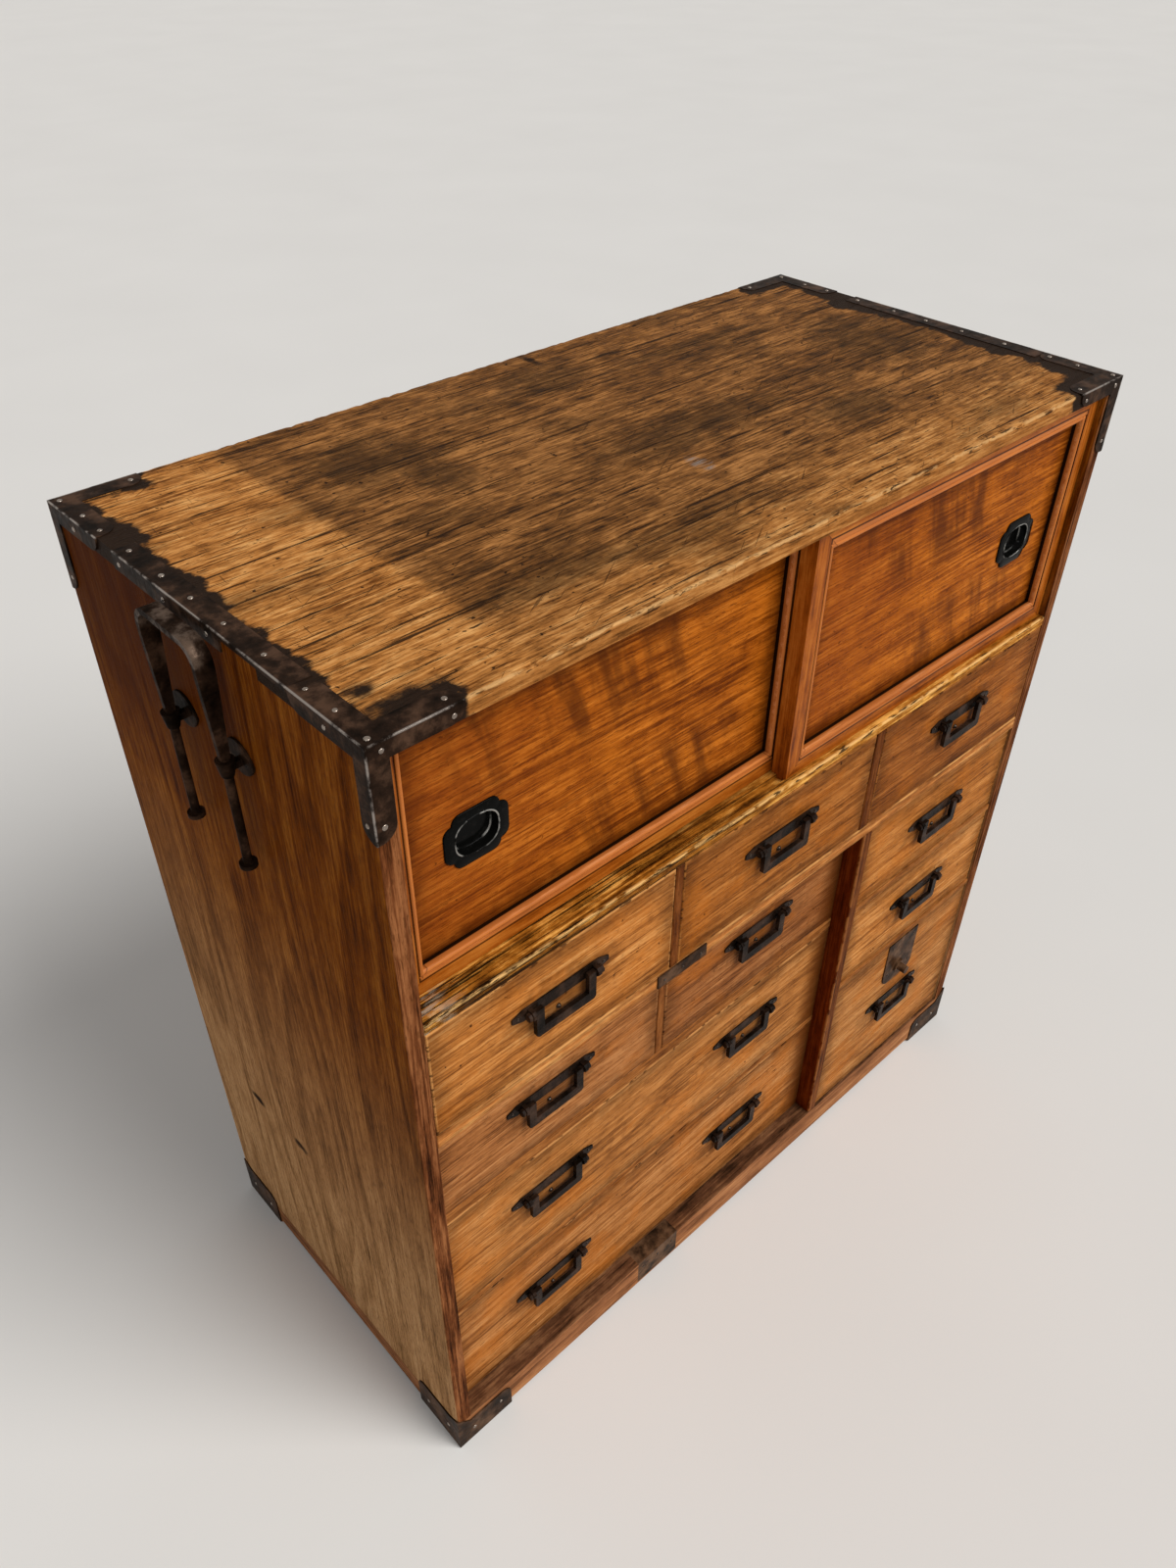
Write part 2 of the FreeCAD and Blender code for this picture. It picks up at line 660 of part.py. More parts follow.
def pull_centres(name):
    """Names and pivot points of the pulls of a drawer."""
    x, z, behind = OPENINGS[name]
    middle = (x[0] + x[1]) / 2
    high = (z[0] + z[1]) / 2 + PULL_RISE[name]
    face = Y_FRONT + behind
    if not name.startswith("wide"):
        return {name: Vector(middle, face, high)}
    return {
        name + "_left": Vector(middle - PULL_SPREAD / 2, face, high),
        name + "_right": Vector(middle + PULL_SPREAD / 2, face, high),
    }


def pull_plate(centre):
    """Boat-shaped plate and the two eye posts on it."""
    half = PULL_PLATE_LONG / 2
    tip = PULL_TIP_HIGH / 2
    up = PULL_PLATE_HIGH / 2
    shoulder = half - PULL_TAPER
    x, z = centre.x, centre.z
    corners = [
        (x - half, z - tip, 0), (x - shoulder, z - up, 0), (x + shoulder, z - up, 0), (x + half, z - tip, 0),
        (x + half, z + tip, 0), (x + shoulder, z + up, 0), (x - shoulder, z + up, 0), (x - half, z + tip, 0),
    ]
    backing = plate("front", corners, centre.y - PULL_PLATE_THICK, PULL_PLATE_THICK)
    inner = BAIL_WIDE / 2 + PLAY
    return [backing, eye_post(centre, inner), eye_post(centre, -inner - EYE_WIDE)]


def eye_post(centre, start):
    """Eye that a bail turns in: a forged nose on a straight root that stands on the plate."""
    x = centre.x + start
    y = centre.y - PIVOT_OUT
    root = centre.y - PULL_PLATE_THICK
    z = (centre.z - EYE_RADIUS, centre.z + EYE_RADIUS)
    flat = octagon_flat(EYE_RADIUS)
    nose = y - EYE_RADIUS
    corners = [
        (root, z[0], 0), (root, z[1], 0), (y - flat, z[1], 0), (nose, centre.z + flat, 0),
        (nose, centre.z - flat, 0), (y - flat, z[0], 0),
    ]
    bore = Part.makeCylinder(TRUNNION + FIT, EYE_WIDE, Vector(x, y, centre.z), X_AXIS)
    return plate("side", corners, x, EYE_WIDE).cut(bore)


def bail(centre):
    """Flat square bail with a trunnion and a button on each side."""
    half = BAIL_WIDE / 2
    inner = half - BAIL_LEG
    x, z = centre.x, centre.z
    top = z + BAIL_TOP
    foot = z - BAIL_DROP
    bar = foot + BAIL_BAR
    corners = [
        (x - half, foot + BAIL_CLIP, 0), (x - half + BAIL_CLIP, foot, 0), (x + half - BAIL_CLIP, foot, 0),
        (x + half, foot + BAIL_CLIP, 0), (x + half, top, 0), (x + inner, top, 0), (x + inner, bar, 0),
        (x - inner, bar, 0), (x - inner, top, 0), (x - half, top, 0),
    ]
    axis_y = centre.y - PIVOT_OUT
    loop = plate("front", corners, axis_y - BAIL_THICK / 2, BAIL_THICK)
    trunnion_long = EYE_WIDE + 2 * PLAY
    ends = []
    for side in (1, -1):
        root = Vector(x + side * half, axis_y, z)
        seat = root.x + side * trunnion_long
        ends.append(Part.makeCylinder(TRUNNION, trunnion_long, root, X_AXIS * side))
        ends.append(forged_button(root, seat, side * BUTTON_LONG, BUTTON_RADIUS))
    return loop.fuse(ends)


# Lock

def lock_point(y):
    return Vector(LOCK_X, y, Z_LOCK)


def spindle_hole():
    """Hole through the lock plate and drawer front."""
    start = lock_point(LOCK_FACE - PULL_PLATE_THICK)
    return Part.makeCylinder(SPINDLE_RADIUS + FIT, DRAWER_FRONT + PULL_PLATE_THICK, start, Y_AXIS)


def make_lock_plate():
    half = LOCK_PLATE_LONG / 2
    corners = [
        (LOCK_X - half, Z_LOCK_PLATE, LOCK_PLATE_ROUND), (LOCK_X + half, Z_LOCK_PLATE, LOCK_PLATE_ROUND),
        (LOCK_X + half, Z_LOCK_PLATE_TOP, 0), (LOCK_X - half, Z_LOCK_PLATE_TOP, 0),
    ]
    return plate("front", corners, LOCK_FACE - PULL_PLATE_THICK, PULL_PLATE_THICK).cut(spindle_hole())


def make_lock_knob():
    """Turn knob, its spindle through the drawer front and the tongue that hangs behind it."""
    seat = LOCK_FACE - PULL_PLATE_THICK - PLAY
    start = lock_point(seat)
    collar = Part.makeCylinder(KNOB_COLLAR_RADIUS, KNOB_COLLAR_LONG, start, -Y_AXIS)
    post = Part.makeCylinder(KNOB_RADIUS, seat - LOCK_FACE + KNOB_REACH, start, -Y_AXIS)
    inner = LOCK_FACE + DRAWER_FRONT + PLAY
    spindle = Part.makeCylinder(SPINDLE_RADIUS, inner + LOCK_TONGUE_THICK - seat, start, Y_AXIS)
    half = LOCK_TONGUE_WIDE / 2
    tongue = slab(
        (LOCK_X - half, LOCK_X + half), (inner, inner + LOCK_TONGUE_THICK),
        (Z_LOCK - TONGUE_LONG, Z_LOCK + half),
    )
    return post.fuse([collar, spindle, tongue])


# Sheet irons

def angle_plate(view, corner, legs, widths, start):
    """L-shaped plate from an outer corner; legs run along the two drawn axes with rounded ends."""
    u, v = corner
    leg_u, leg_v = legs
    wide_u, wide_v = widths
    round_u = min(IRON_END_ROUND, abs(wide_u) - SEAM)
    round_v = min(IRON_END_ROUND, abs(wide_v) - SEAM)
    corners = [
        (u, v, 0), (u + leg_u, v, 0), (u + leg_u, v + wide_u, round_u), (u + wide_v, v + wide_u, 0),
        (u + wide_v, v + leg_v, round_v), (u, v + leg_v, 0),
    ]
    return plate(view, corners, start, IRON)


def top_corner_iron():
    """Three-way binding of the left front top corner."""
    x, y, z = -X_SIDE - IRON, Y_FRONT - IRON, HEIGHT + IRON
    wide = (TOP_IRON_WIDE, TOP_IRON_WIDE)
    over = angle_plate("top", (x, y), (TOP_IRON_FRONT, TOP_IRON_SIDE), wide, HEIGHT)
    front_wide = (-FRONT_IRON_BAND, FRONT_IRON_LEG)
    front = angle_plate("front", (x, z), (TOP_IRON_FRONT, -TOP_IRON_DROP), front_wide, y)
    side_wide = (-FRONT_IRON_BAND, SIDE_IRON_LEG)
    side = angle_plate("side", (y, z), (TOP_IRON_SIDE, -TOP_IRON_DROP), side_wide, x)
    return over.fuse([front, side]).removeSplitter()


def edge_plate(y, fold):
    """Folded plate along the left top edge."""
    x, z = -X_SIDE - IRON, HEIGHT + IRON
    over = slab((x, x + TOP_IRON_WIDE), y, (HEIGHT, z))
    down = slab((x, -X_SIDE), y, (z - fold, z))
    return over.fuse(down).removeSplitter()


def four_corners(front_left):
    """The same corner piece at all four corners."""
    left = [front_left, turned_about(front_left)]
    return left + [across(piece) for piece in left]


def make_top_irons():
    corner_end = Y_FRONT - IRON + TOP_IRON_SIDE
    strip_end = corner_end + TOP_IRON_SIDE - SEAM * 2
    strip = edge_plate((corner_end + SEAM, strip_end), EDGE_STRIP_FOLD)
    middle = edge_plate((strip_end + SEAM, strip_end + SEAM + MID_PLATE_LONG), MID_PLATE_FOLD)
    left = [strip, middle]
    return four_corners(top_corner_iron()) + left + [across(piece) for piece in left]


def foot_leg(corner, long, high, spur):
    """Outline of one leg of a foot binding: a band with a rounded end that slopes up to the corner."""
    end = corner + long
    return [
        (corner, FOOT_IRON_LIFT, 0), (end, FOOT_IRON_LIFT, 0), (end, high, IRON_END_ROUND),
        (corner + spur, high, 0), (corner, FOOT_SPUR_HIGH, 0),
    ]


def foot_corner_iron():
    """Binding of the left front foot, with a spur up the side board."""
    x, y = -X_SIDE - IRON, Y_FRONT - IRON
    front = foot_leg(x, FOOT_IRON_FRONT, FOOT_IRON_FRONT_HIGH, FRONT_IRON_LEG)
    side = foot_leg(y, FOOT_IRON_SIDE, FOOT_IRON_SIDE_HIGH, SIDE_IRON_LEG)
    return plate("front", front, y, IRON).fuse(plate("side", side, x, IRON)).removeSplitter()


def keeper_range():
    left = -X_INNER + KEEPER_FROM_LEFT
    return (left, left + KEEPER_LONG)


def make_sill_plate():
    """Plate let in flush over the front edge of the base."""
    front = slab(keeper_range(), (Y_FRONT, Y_FRONT + IRON), (BASE - SILL_PLATE_FRONT, BASE))
    over = slab(keeper_range(), (Y_FRONT, Y_FRONT + SILL_PLATE_TOP), (BASE - IRON, BASE))
    return front.fuse(over).removeSplitter()


def make_keeper():
    return slab(keeper_range(), (Y_FRONT - IRON, Y_FRONT), (Z_BAY_TOP, Z_ROW_ONE))


# Carrying handles, drawn for the left side

def handle_rods():
    """Rod axis points at the height of the eyes' top."""
    top = BOLT_EYE_MIDDLE + BOLT_EYE_HIGH / 2
    x = -X_SIDE - ROD_OUT
    return [Vector(x, Y_MIDDLE + side * ROD_SPACING / 2, top) for side in (-1, 1)]


def make_strap(shoulder):
    """Bent strap whose legs narrow to the shoulder."""
    outer = (ROD_SPACING + STRAP_THICK) / 2
    inner = (ROD_SPACING - STRAP_THICK) / 2
    top = HEIGHT - HANDLE_TOP_GAP
    under = top - STRAP_THICK
    y = Y_MIDDLE
    bend_inside = STRAP_BEND - STRAP_THICK
    path = [
        (y - outer, shoulder, 0), (y - outer, top, STRAP_BEND), (y + outer, top, STRAP_BEND),
        (y + outer, shoulder, 0), (y + inner, shoulder, 0), (y + inner, under, bend_inside),
        (y - inner, under, bend_inside), (y - inner, shoulder, 0),
    ]
    x = -X_SIDE - ROD_OUT
    half = STRAP_WIDE / 2
    foot = STRAP_FOOT_WIDE / 2
    silhouette = [
        (x - half, top, 0), (x + half, top, 0), (x + half, top - STRAP_STRAIGHT, 0),
        (x + foot, shoulder, 0), (x - foot, shoulder, 0), (x - half, top - STRAP_STRAIGHT, 0),
    ]
    bent = plate("side", path, x - half, STRAP_WIDE)
    return bent.common(plate("front", silhouette, y - outer, 2 * outer))


def make_handle():
    strap = make_strap(handle_rods()[0].z + PLAY)
    pieces = []
    for rod in handle_rods():
        foot = Vector(rod.x, rod.y, ROD_END + ROD_HEAD_HIGH)
        pieces.append(Part.makeCylinder(ROD_RADIUS, rod.z + PLAY - foot.z, foot, Z_AXIS))
        pieces.append(Part.makeCylinder(ROD_HEAD_RADIUS, ROD_HEAD_HIGH, foot, -Z_AXIS))
    return strap.fuse(pieces)


def eye_bolt(rod):
    """Tapered eye around a rod, on a neck that stands on its leaf plate."""
    foot = Vector(rod.x, rod.y, rod.z - BOLT_EYE_HIGH)
    eye = Part.makeCone(BOLT_EYE_FOOT_RADIUS, BOLT_EYE_TOP_RADIUS, BOLT_EYE_HIGH, foot, Z_AXIS)
    half = BOLT_NECK_WIDE / 2
    neck = slab(
        (rod.x, -X_SIDE - LEAF_THICK), (rod.y - half, rod.y + half),
        (BOLT_EYE_MIDDLE - half, BOLT_EYE_MIDDLE + half),
    )
    bore = Part.makeCylinder(ROD_RADIUS + FIT, BOLT_EYE_HIGH, foot, Z_AXIS)
    return eye.fuse(neck).cut(bore)


def leaf_plate(rod):
    """Pointed plate behind an eye bolt."""
    middle = Vector(-X_SIDE - LEAF_THICK, rod.y, BOLT_EYE_MIDDLE + LEAF_RISE)
    tips = [middle - Y_AXIS * LEAF_LONG / 2, middle + Y_AXIS * LEAF_LONG / 2]
    upper = Part.Arc(tips[0], middle + Z_AXIS * LEAF_HIGH / 2, tips[1]).toShape()
    lower = Part.Arc(tips[1], middle - Z_AXIS * LEAF_HIGH / 2, tips[0]).toShape()
    return Part.Face(Part.Wire([upper, lower])).extrude(X_AXIS * LEAF_THICK)


def make_eye_bolts():
    rods = handle_rods()
    return [eye_bolt(rod) for rod in rods] + [leaf_plate(rod) for rod in rods]


# Export

def save(name, shapes):
    """Writes one node; several solids go in one compound."""
    shape = shapes if not isinstance(shapes, list) else Part.makeCompound(shapes)
    shape.exportStep("parts/" + name + ".step")


def save_case():
    row_one, row_two, main = make_dividers()
    left_boards = make_left_boards(row_two)
    right_boards = make_right_boards()
    bottom = make_bottom_board()
    door_shelf = make_door_shelf(row_one)
    row_one_shelf = make_row_one_shelf(row_one + [row_two, main])
    shared = [door_shelf, row_one_shelf, bottom]
    mirrored_boards = [across(board) for board in shared + right_boards]
    sill_plate = make_sill_plate()
    save("left_side", make_left_side(shared + left_boards))
    save("right_side", across(make_left_side(mirrored_boards)))
    save("top_board", make_top_board())
    save("back_boards", make_back_boards())
    save("bottom_board", bottom)
    save("base_frame", make_base(sill_plate))
    save("door_shelf", door_shelf)
    save("row_one_shelf", row_one_shelf)
    save("main_divider", main.cut(left_boards + right_boards))
    save("row_one_dividers", row_one)
    save("row_two_divider", row_two)
    save("left_dust_boards", left_boards)
    save("right_dust_boards", right_boards)
    save("panel_keepers", [make_keeper(), sill_plate])


def save_doors():
    for hand in DOOR_FACES:
        save(hand + "_door_frame", make_door_frame(hand))
        save(hand + "_door_panel", make_door_panel(hand))
        save(hand + "_door_pull", make_door_pull(hand))


def save_drawers():
    for name in OPENINGS:
        drawer = make_drawer(name)
        if name == "right_lower":
            drawer[0] = drawer[0].cut(spindle_hole())
        save("drawer_" + name, drawer)
        centres = pull_centres(name)
        plates = [piece for centre in centres.values() for piece in pull_plate(centre)]
        save("pull_plate_" + name, plates)
        for pull_name, centre in centres.items():
            save("bail_" + pull_name, bail(centre))
    save("lock_plate", make_lock_plate())
    save("lock_knob", make_lock_knob())


def save_irons():
    save("top_irons", make_top_irons())
    save("foot_irons", four_corners(foot_corner_iron()))
    handle = make_handle()
    save("carrying_handle_left", handle)
    save("carrying_handle_right", across(handle))
    bolts = make_eye_bolts()
    save("eye_bolts_left", bolts)
    save("eye_bolts_right", [across(piece) for piece in bolts])


os.makedirs("parts", exist_ok=True)
save_case()
save_doors()
save_drawers()
save_irons()
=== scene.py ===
import json
import math
import random

import bmesh
import bpy
from mathutils import Matrix, Vector


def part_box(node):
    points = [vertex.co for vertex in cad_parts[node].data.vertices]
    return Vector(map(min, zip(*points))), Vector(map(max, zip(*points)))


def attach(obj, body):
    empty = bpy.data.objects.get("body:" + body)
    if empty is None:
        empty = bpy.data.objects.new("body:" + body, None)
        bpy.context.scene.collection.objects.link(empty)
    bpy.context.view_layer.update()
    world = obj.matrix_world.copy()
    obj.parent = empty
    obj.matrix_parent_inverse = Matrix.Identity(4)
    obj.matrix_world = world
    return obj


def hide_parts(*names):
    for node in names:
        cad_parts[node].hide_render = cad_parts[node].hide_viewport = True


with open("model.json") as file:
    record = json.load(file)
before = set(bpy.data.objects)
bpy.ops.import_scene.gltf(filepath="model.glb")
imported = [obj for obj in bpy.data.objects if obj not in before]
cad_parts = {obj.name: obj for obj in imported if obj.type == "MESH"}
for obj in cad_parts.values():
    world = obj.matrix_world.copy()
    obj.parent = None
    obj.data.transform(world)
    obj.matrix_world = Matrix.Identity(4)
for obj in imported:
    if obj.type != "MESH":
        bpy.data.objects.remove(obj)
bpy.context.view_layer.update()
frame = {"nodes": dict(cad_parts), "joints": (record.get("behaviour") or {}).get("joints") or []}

# Sizes in metres
MM = 0.001
DRAWER_FRONT = 17 * MM
DRAWER_SIDE = 8 * MM
DOOR_REVEAL = 9 * MM
DOOR_GROOVE_IN = 16.2 * MM
BACK_BOARDS = 4
BACK_BOARD_GAP = 0.3 * MM
BACK_BOARD_EASE = 1.4 * MM
BASE_SIDE_IN = 0.39
BASE_RAIL_DEEP = 30 * MM
SILL_FACE = 46.6 * MM
IRON_SHEET = 1.5 * MM
TOP_IRON_WIDE = 19 * MM
TOP_IRON_FRONT = 72 * MM
PIVOT_OUT = 5.5 * MM
PULL_PLATE = 1.5 * MM
CUP_FLANGE = 1.5 * MM
GRIP_DEEP = 14 * MM
# The irons on top and behind are seen thinner, so that their nail heads end inside the chest's box
IRON_SEEN = 0.6 * MM
# Vertices closer than this are one
MERGE = 0.01 * MM

# Rounding of metal edges
BAIL_ROUND = 0.7 * MM
HANDLE_ROUND = 1.1 * MM
KNOB_ROUND = 1.2 * MM
SHEET_ROUND = 0.5 * MM
SHARP_ANGLE = math.radians(35)
CUP_SHARP_ANGLE = math.radians(50)

# Wear on the top: places and sizes along x and y, or limits along one of them
TOP_SCAR = ((-0.010, -0.070), (9 * MM, 18 * MM))
BACK_NOTCH = ((0.038, 0.195), (6 * MM, 20 * MM))
IRON_STAINS = (
    ((-0.395, -0.152), (0.014, 0.010)),
    ((-0.382, -0.184), (0.044, 0.017)),
    ((0.374, -0.184), (0.038, 0.017)),
)
TOP_CLOUDS = (
    ((-0.205, 0.110), (0.075, 0.060)),
    ((-0.178, 0.050), (0.030, 0.045)),
    ((0.010, 0.145), (0.060, 0.035)),
    ((0.170, 0.124), (0.110, 0.012)),
    ((0.040, -0.015), (0.130, 0.040)),
    ((0.180, -0.080), (0.060, 0.035)),
    ((-0.220, -0.128), (0.090, 0.022)),
    ((0.330, 0.020), (0.070, 0.080)),
)
SCRATCH_ANGLES = (0.35, 1.0, 1.7, 2.6)
GOLD_BAND_END = -0.290
GOLD_BAND_FADE = 9 * MM
GOLD_BAND_RAGGED = 24 * MM
FRONT_WEAR = (-0.09, -0.19)
RIGHT_STAIN = (0.3, 0.4)
RIGHT_STAIN_WIDER = 9 * MM
STAIN_RAGGED = 60 * MM

# Wear on the sides, and a painted reflection of the floor low on them: spots at y and z, and limits along
# one of them
SIDE_SPOTS = ((0.111, 0.275), (0.029, 0.279))
SIDE_SPOT_SIZE = (15 * MM, 7 * MM)
# Heights over which the lower side, dull and lighter with a painted reflection of the floor, turns dark red
SIDE_SHEEN_TO_RED = (0.10, 0.72)
SIDE_HANDLED_UP = (0.62, 0.84)
SIDE_HANDLED_BACK = (-0.12, 0.02)

# Wear on the fronts: ovals at x and z, ends in the shade of the main upright, and clouds round the pulls
OVALS = {"wide_upper": (((-0.155, 0.284), (0.052, 0.037)), ((-0.092, 0.288), (0.032, 0.026)))}
SHADED_DRAWERS = ("middle_upper", "wide_upper", "wide_lower")
SHADED_END = (0.092, 0.122)
HALO_SIZE = (70 * MM, 36 * MM)
HALO_DOWN = 10 * MM

# Wear on the left end of the door shelf, and pale whitish streaks at its very end, from none to full along
# x
SHELF_WEATHER = (0.06, -0.22)
SHELF_WHITISH_END = (-0.36, -0.41)

# Two rows of smudges on a door panel: fading down it, starting along it and ending along it
UPPER_SMUDGES = ((105 * MM, 55 * MM), (30 * MM, 70 * MM), (330 * MM, 240 * MM))
LOWER_SMUDGES = ((115 * MM, 150 * MM), (120 * MM, 190 * MM), (370 * MM, 310 * MM))
SMUDGE_LEAN = 0.3

# Chipped edges of the worn boards: the higher the last two, the rarer the deep chips
CHIP_STEP = 5 * MM
CHIP_INSET = 4 * MM
ON_ARRIS = 0.05 * MM
CHIP_IN_RARE = 8
CHIP_DOWN_RARE = 5

# The camera that fits the photograph
CAMERA_PLACE = Vector((-0.6951, -0.67205, 1.3176))
CAMERA_FORWARD = Vector((0.53097, 0.56498, -0.63156))
CAMERA_UP = Vector((0.42520, 0.46705, 0.77529))
CAMERA_LENS = 27.53
CAMERA_SENSOR = 36.0

# Studio light
WORLD_STRENGTH = 0.32
KEY_TOWARDS = Vector((-0.304, 0.652, -0.696))
KEY_STRENGTH = 2.7
KEY_SPREAD = math.radians(35)
LEFT_LAMP_PLACE = Vector((-2.2, -1.4, 2.4))
LEFT_LAMP_TARGET = Vector((0, 0, 0.6))
LEFT_LAMP_SIZE = 0.35
LEFT_LAMP_WATTS = 8
FLOOR_HALF = 80

# Where the case stands
CASE_BODY = "chest"
CASE_LOW, CASE_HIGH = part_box("left_side")
CASE_HALF = -CASE_LOW.x
CASE_FRONT = CASE_LOW.y
CASE_BACK = CASE_HIGH.y
CASE_MIDDLE_Y = (CASE_FRONT + CASE_BACK) / 2
CASE_HALF_DEEP = (CASE_BACK - CASE_FRONT) / 2
TOP_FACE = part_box("top_board")[1].z

HANDS = ("left", "right")
PIVOTS = {
    joint["name"].removesuffix("_swing"): Vector(joint["pos_m"])
    for joint in frame["joints"] if joint["name"].endswith("_swing")
}


def drawer_of(pull):
    """The drawer that carries a pull; the wide ones carry two."""
    return pull.removesuffix("_left").removesuffix("_right") if pull.startswith("wide") else pull


def pulls_of(drawer):
    """The pivots of a drawer's pulls."""
    return [pivot for pull, pivot in PIVOTS.items() if drawer_of(pull) == drawer]


# Colours

def paint(red, green, blue):
    """A colour as a paint chart gives it, 0 to 255, in linear light."""
    def linear(level):
        share = level / 255
        return share / 12.92 if share <= 0.04045 else ((share + 0.055) / 1.055) ** 2.4
    return (linear(red), linear(green), linear(blue), 1.0)


def tones(dark, middle, light):
    """The dark, middle and light colour of one material."""
    return tuple(paint(*colour) for colour in (dark, middle, light))


DIRT = paint(54, 27, 8)
BLACKENED = paint(34, 20, 10)
OLD_WAX = paint(190, 104, 22)

DRAWER_WOOD = {
    "top_left": tones((112, 62, 24), (186, 117, 54), (218, 154, 88)),
    "top_middle": tones((90, 47, 14), (153, 89, 34), (186, 120, 58)),
    "top_right": tones((84, 42, 11), (145, 82, 31), (180, 114, 54)),
    "left_upper": tones((94, 52, 23), (160, 100, 53), (192, 132, 80)),
    "middle_upper": tones((82, 43, 18), (142, 85, 43), (176, 117, 68)),
    "wide_upper": tones((104, 58, 24), (174, 111, 54), (204, 143, 83)),
    "wide_lower": tones((97, 53, 22), (163, 102, 50), (196, 136, 80)),
    "right_upper": tones((106, 58, 19), (176, 107, 45), (206, 142, 76)),
    "right_middle": tones((112, 63, 23), (184, 116, 53), (214, 152, 88)),
    "right_lower": tones((101, 56, 23), (166, 106, 52), (198, 140, 82)),
}
DRAWER_SHADE = paint(86, 42, 12)

RAIL_WOOD = tones((110, 60, 22), (196, 122, 60), (232, 170, 100))
DUST_BOARD_WOOD = tones((82, 42, 14), (148, 90, 42), (192, 128, 68))
DARK_WOOD = tones((44, 17, 3), (94, 47, 15), (138, 80, 36))
UPRIGHT_WOOD = tones((64, 31, 10), (122, 70, 31), (164, 104, 54))
UPRIGHT_RECESS = tones((44, 10, 1), (92, 32, 4), (128, 56, 14))
UPRIGHT_PALE = paint(150, 92, 46)
BARE_WOOD = tones((104, 72, 44), (152, 114, 76), (184, 146, 104))
BACK_JOINT = paint(48, 30, 16)

TOP_GOLD = tones((104, 58, 20), (186, 122, 60), (228, 168, 100))
TOP_BROWN = tones((46, 27, 12), (122, 78, 38), (182, 124, 68))
TOP_FRONT = tones((92, 54, 20), (158, 100, 46), (196, 138, 76))
TOP_CLOUD = paint(44, 30, 15)
TOP_PORE = paint(56, 32, 14)
TOP_SCUFF = paint(138, 128, 120)
TOP_PALE = paint(218, 168, 108)
IRON_STAIN = paint(40, 28, 20)

# Lower side: dull wood, made lighter by a painted reflection of the floor
SIDE_LOW_AND_SHEEN = tones((110, 76, 42), (170, 126, 82), (198, 156, 110))
SIDE_RED = tones((52, 19, 1), (108, 54, 6), (150, 90, 28))
SIDE_EDGE = tones((44, 21, 9), (106, 59, 31), (148, 94, 56))
SIDE_HANDLED = paint(62, 22, 2)
SIDE_PORE = paint(70, 38, 14)

PANEL_WOOD = tones((88, 36, 3), (156, 80, 14), (196, 112, 34))
PANEL_LEFT = paint(134, 62, 18)
PANEL_SMUDGE = paint(78, 34, 6)
# Darker towards the panels' edges
PANEL_EDGE_DARK = paint(66, 26, 4)
PANEL_NICK = paint(70, 30, 5)
DOOR_FRAME_WOOD = tones((88, 34, 3), (158, 82, 18), (196, 118, 44))
# Painted light on the door frames' bead
BEAD_PAINTED_LIGHT = paint(204, 122, 62)
# Painted highlight on the crest of the bead
BEAD_HIGHLIGHT = paint(232, 160, 104)
BEAD_SHADE = paint(84, 32, 4)
FRAME_GROOVE = paint(46, 16, 2)
# Dark joint at the panel, and painted shade deep in the reveal
PANEL_JOINT_AND_SHADE = paint(26, 10, 2)

SHELF_WOOD = tones((84, 44, 8), (168, 104, 32), (240, 178, 88))
SHELF_CRACK = paint(22, 13, 7)
# Pale whitish streaks at the shelf's left end
SHELF_WHITISH = paint(206, 192, 168)
SHELF_PALE = paint(232, 182, 112)
BASE_WOOD = tones((80, 46, 24), (144, 92, 56), (186, 130, 84))
# Painted shade on the top face of the sill
SILL_SHADE_WOOD = tones((44, 27, 15), (94, 60, 38), (136, 95, 62))

BLACK_IRON = tones((16, 10, 6), (40, 27, 19), (78, 56, 42))
PULL_IRON = tones((12, 8, 5), (31, 21, 15), (60, 42, 31))
LOCK_IRON = tones((24, 14, 8), (62, 40, 24), (104, 76, 54))
LOW_IRON = tones((26, 16, 9), (52, 34, 21), (90, 64, 45))
# Nail heads polished bright, with a painted glint as well
BRIGHT_NAIL = tones((92, 80, 70), (140, 128, 118), (196, 188, 180))
DARK_NAIL = tones((30, 24, 20), (60, 50, 43), (104, 92, 84))
IRON_DUST = paint(112, 82, 58)
# Iron worn bright by hands, and also a painted glint
HELD_IRON_AND_GLINT = paint(112, 98, 86)
WORN_IRON = paint(150, 140, 132)
LACQUER = paint(9, 9, 8)
LACQUER_DUST = paint(38, 36, 34)
# Lacquer worn bright, and also a painted highlight
LACQUER_WORN_AND_HIGHLIGHT = paint(168, 166, 160)

BACKDROP = paint(218, 215, 210)
WORLD_LIGHT = paint(250, 250, 252)
FLOOR_DARK = paint(222, 219, 214)
FLOOR_LIGHT = paint(228, 225, 220)


# Material tools

# Sockets of a Mix node that mixes colours
MIX_SHARE, MIX_FIRST, MIX_SECOND = 0, 6, 7
MIX_RESULT = 2
# How far noise moves along X, Y and Z from one seed to the next
SEED_STEP = (3.17, 1.93, 2.41)
# Layers of grain: waves a metre across and along it, shift of the seed, detail and roughness
STREAKS = (190, 15, 0, 6, 0.74)
MOTTLES = (60, 32, 4, 7, 0.70)
BANDS = (24, 2, 1, 2)
RINGS = (9, 1.1, 2, 1)
RING_COUNT = 9
PORES = (900, 100, 3, 2)
CRACKS = (250, 7, 5, 5, 0.65)
DENTS = (620, 70, 8, 2)
WEATHER_CRACKS = (210, 6, 6, 6, 0.65)
THREAD_WAVES = 11
TOP_THREAD_WAVES = 30


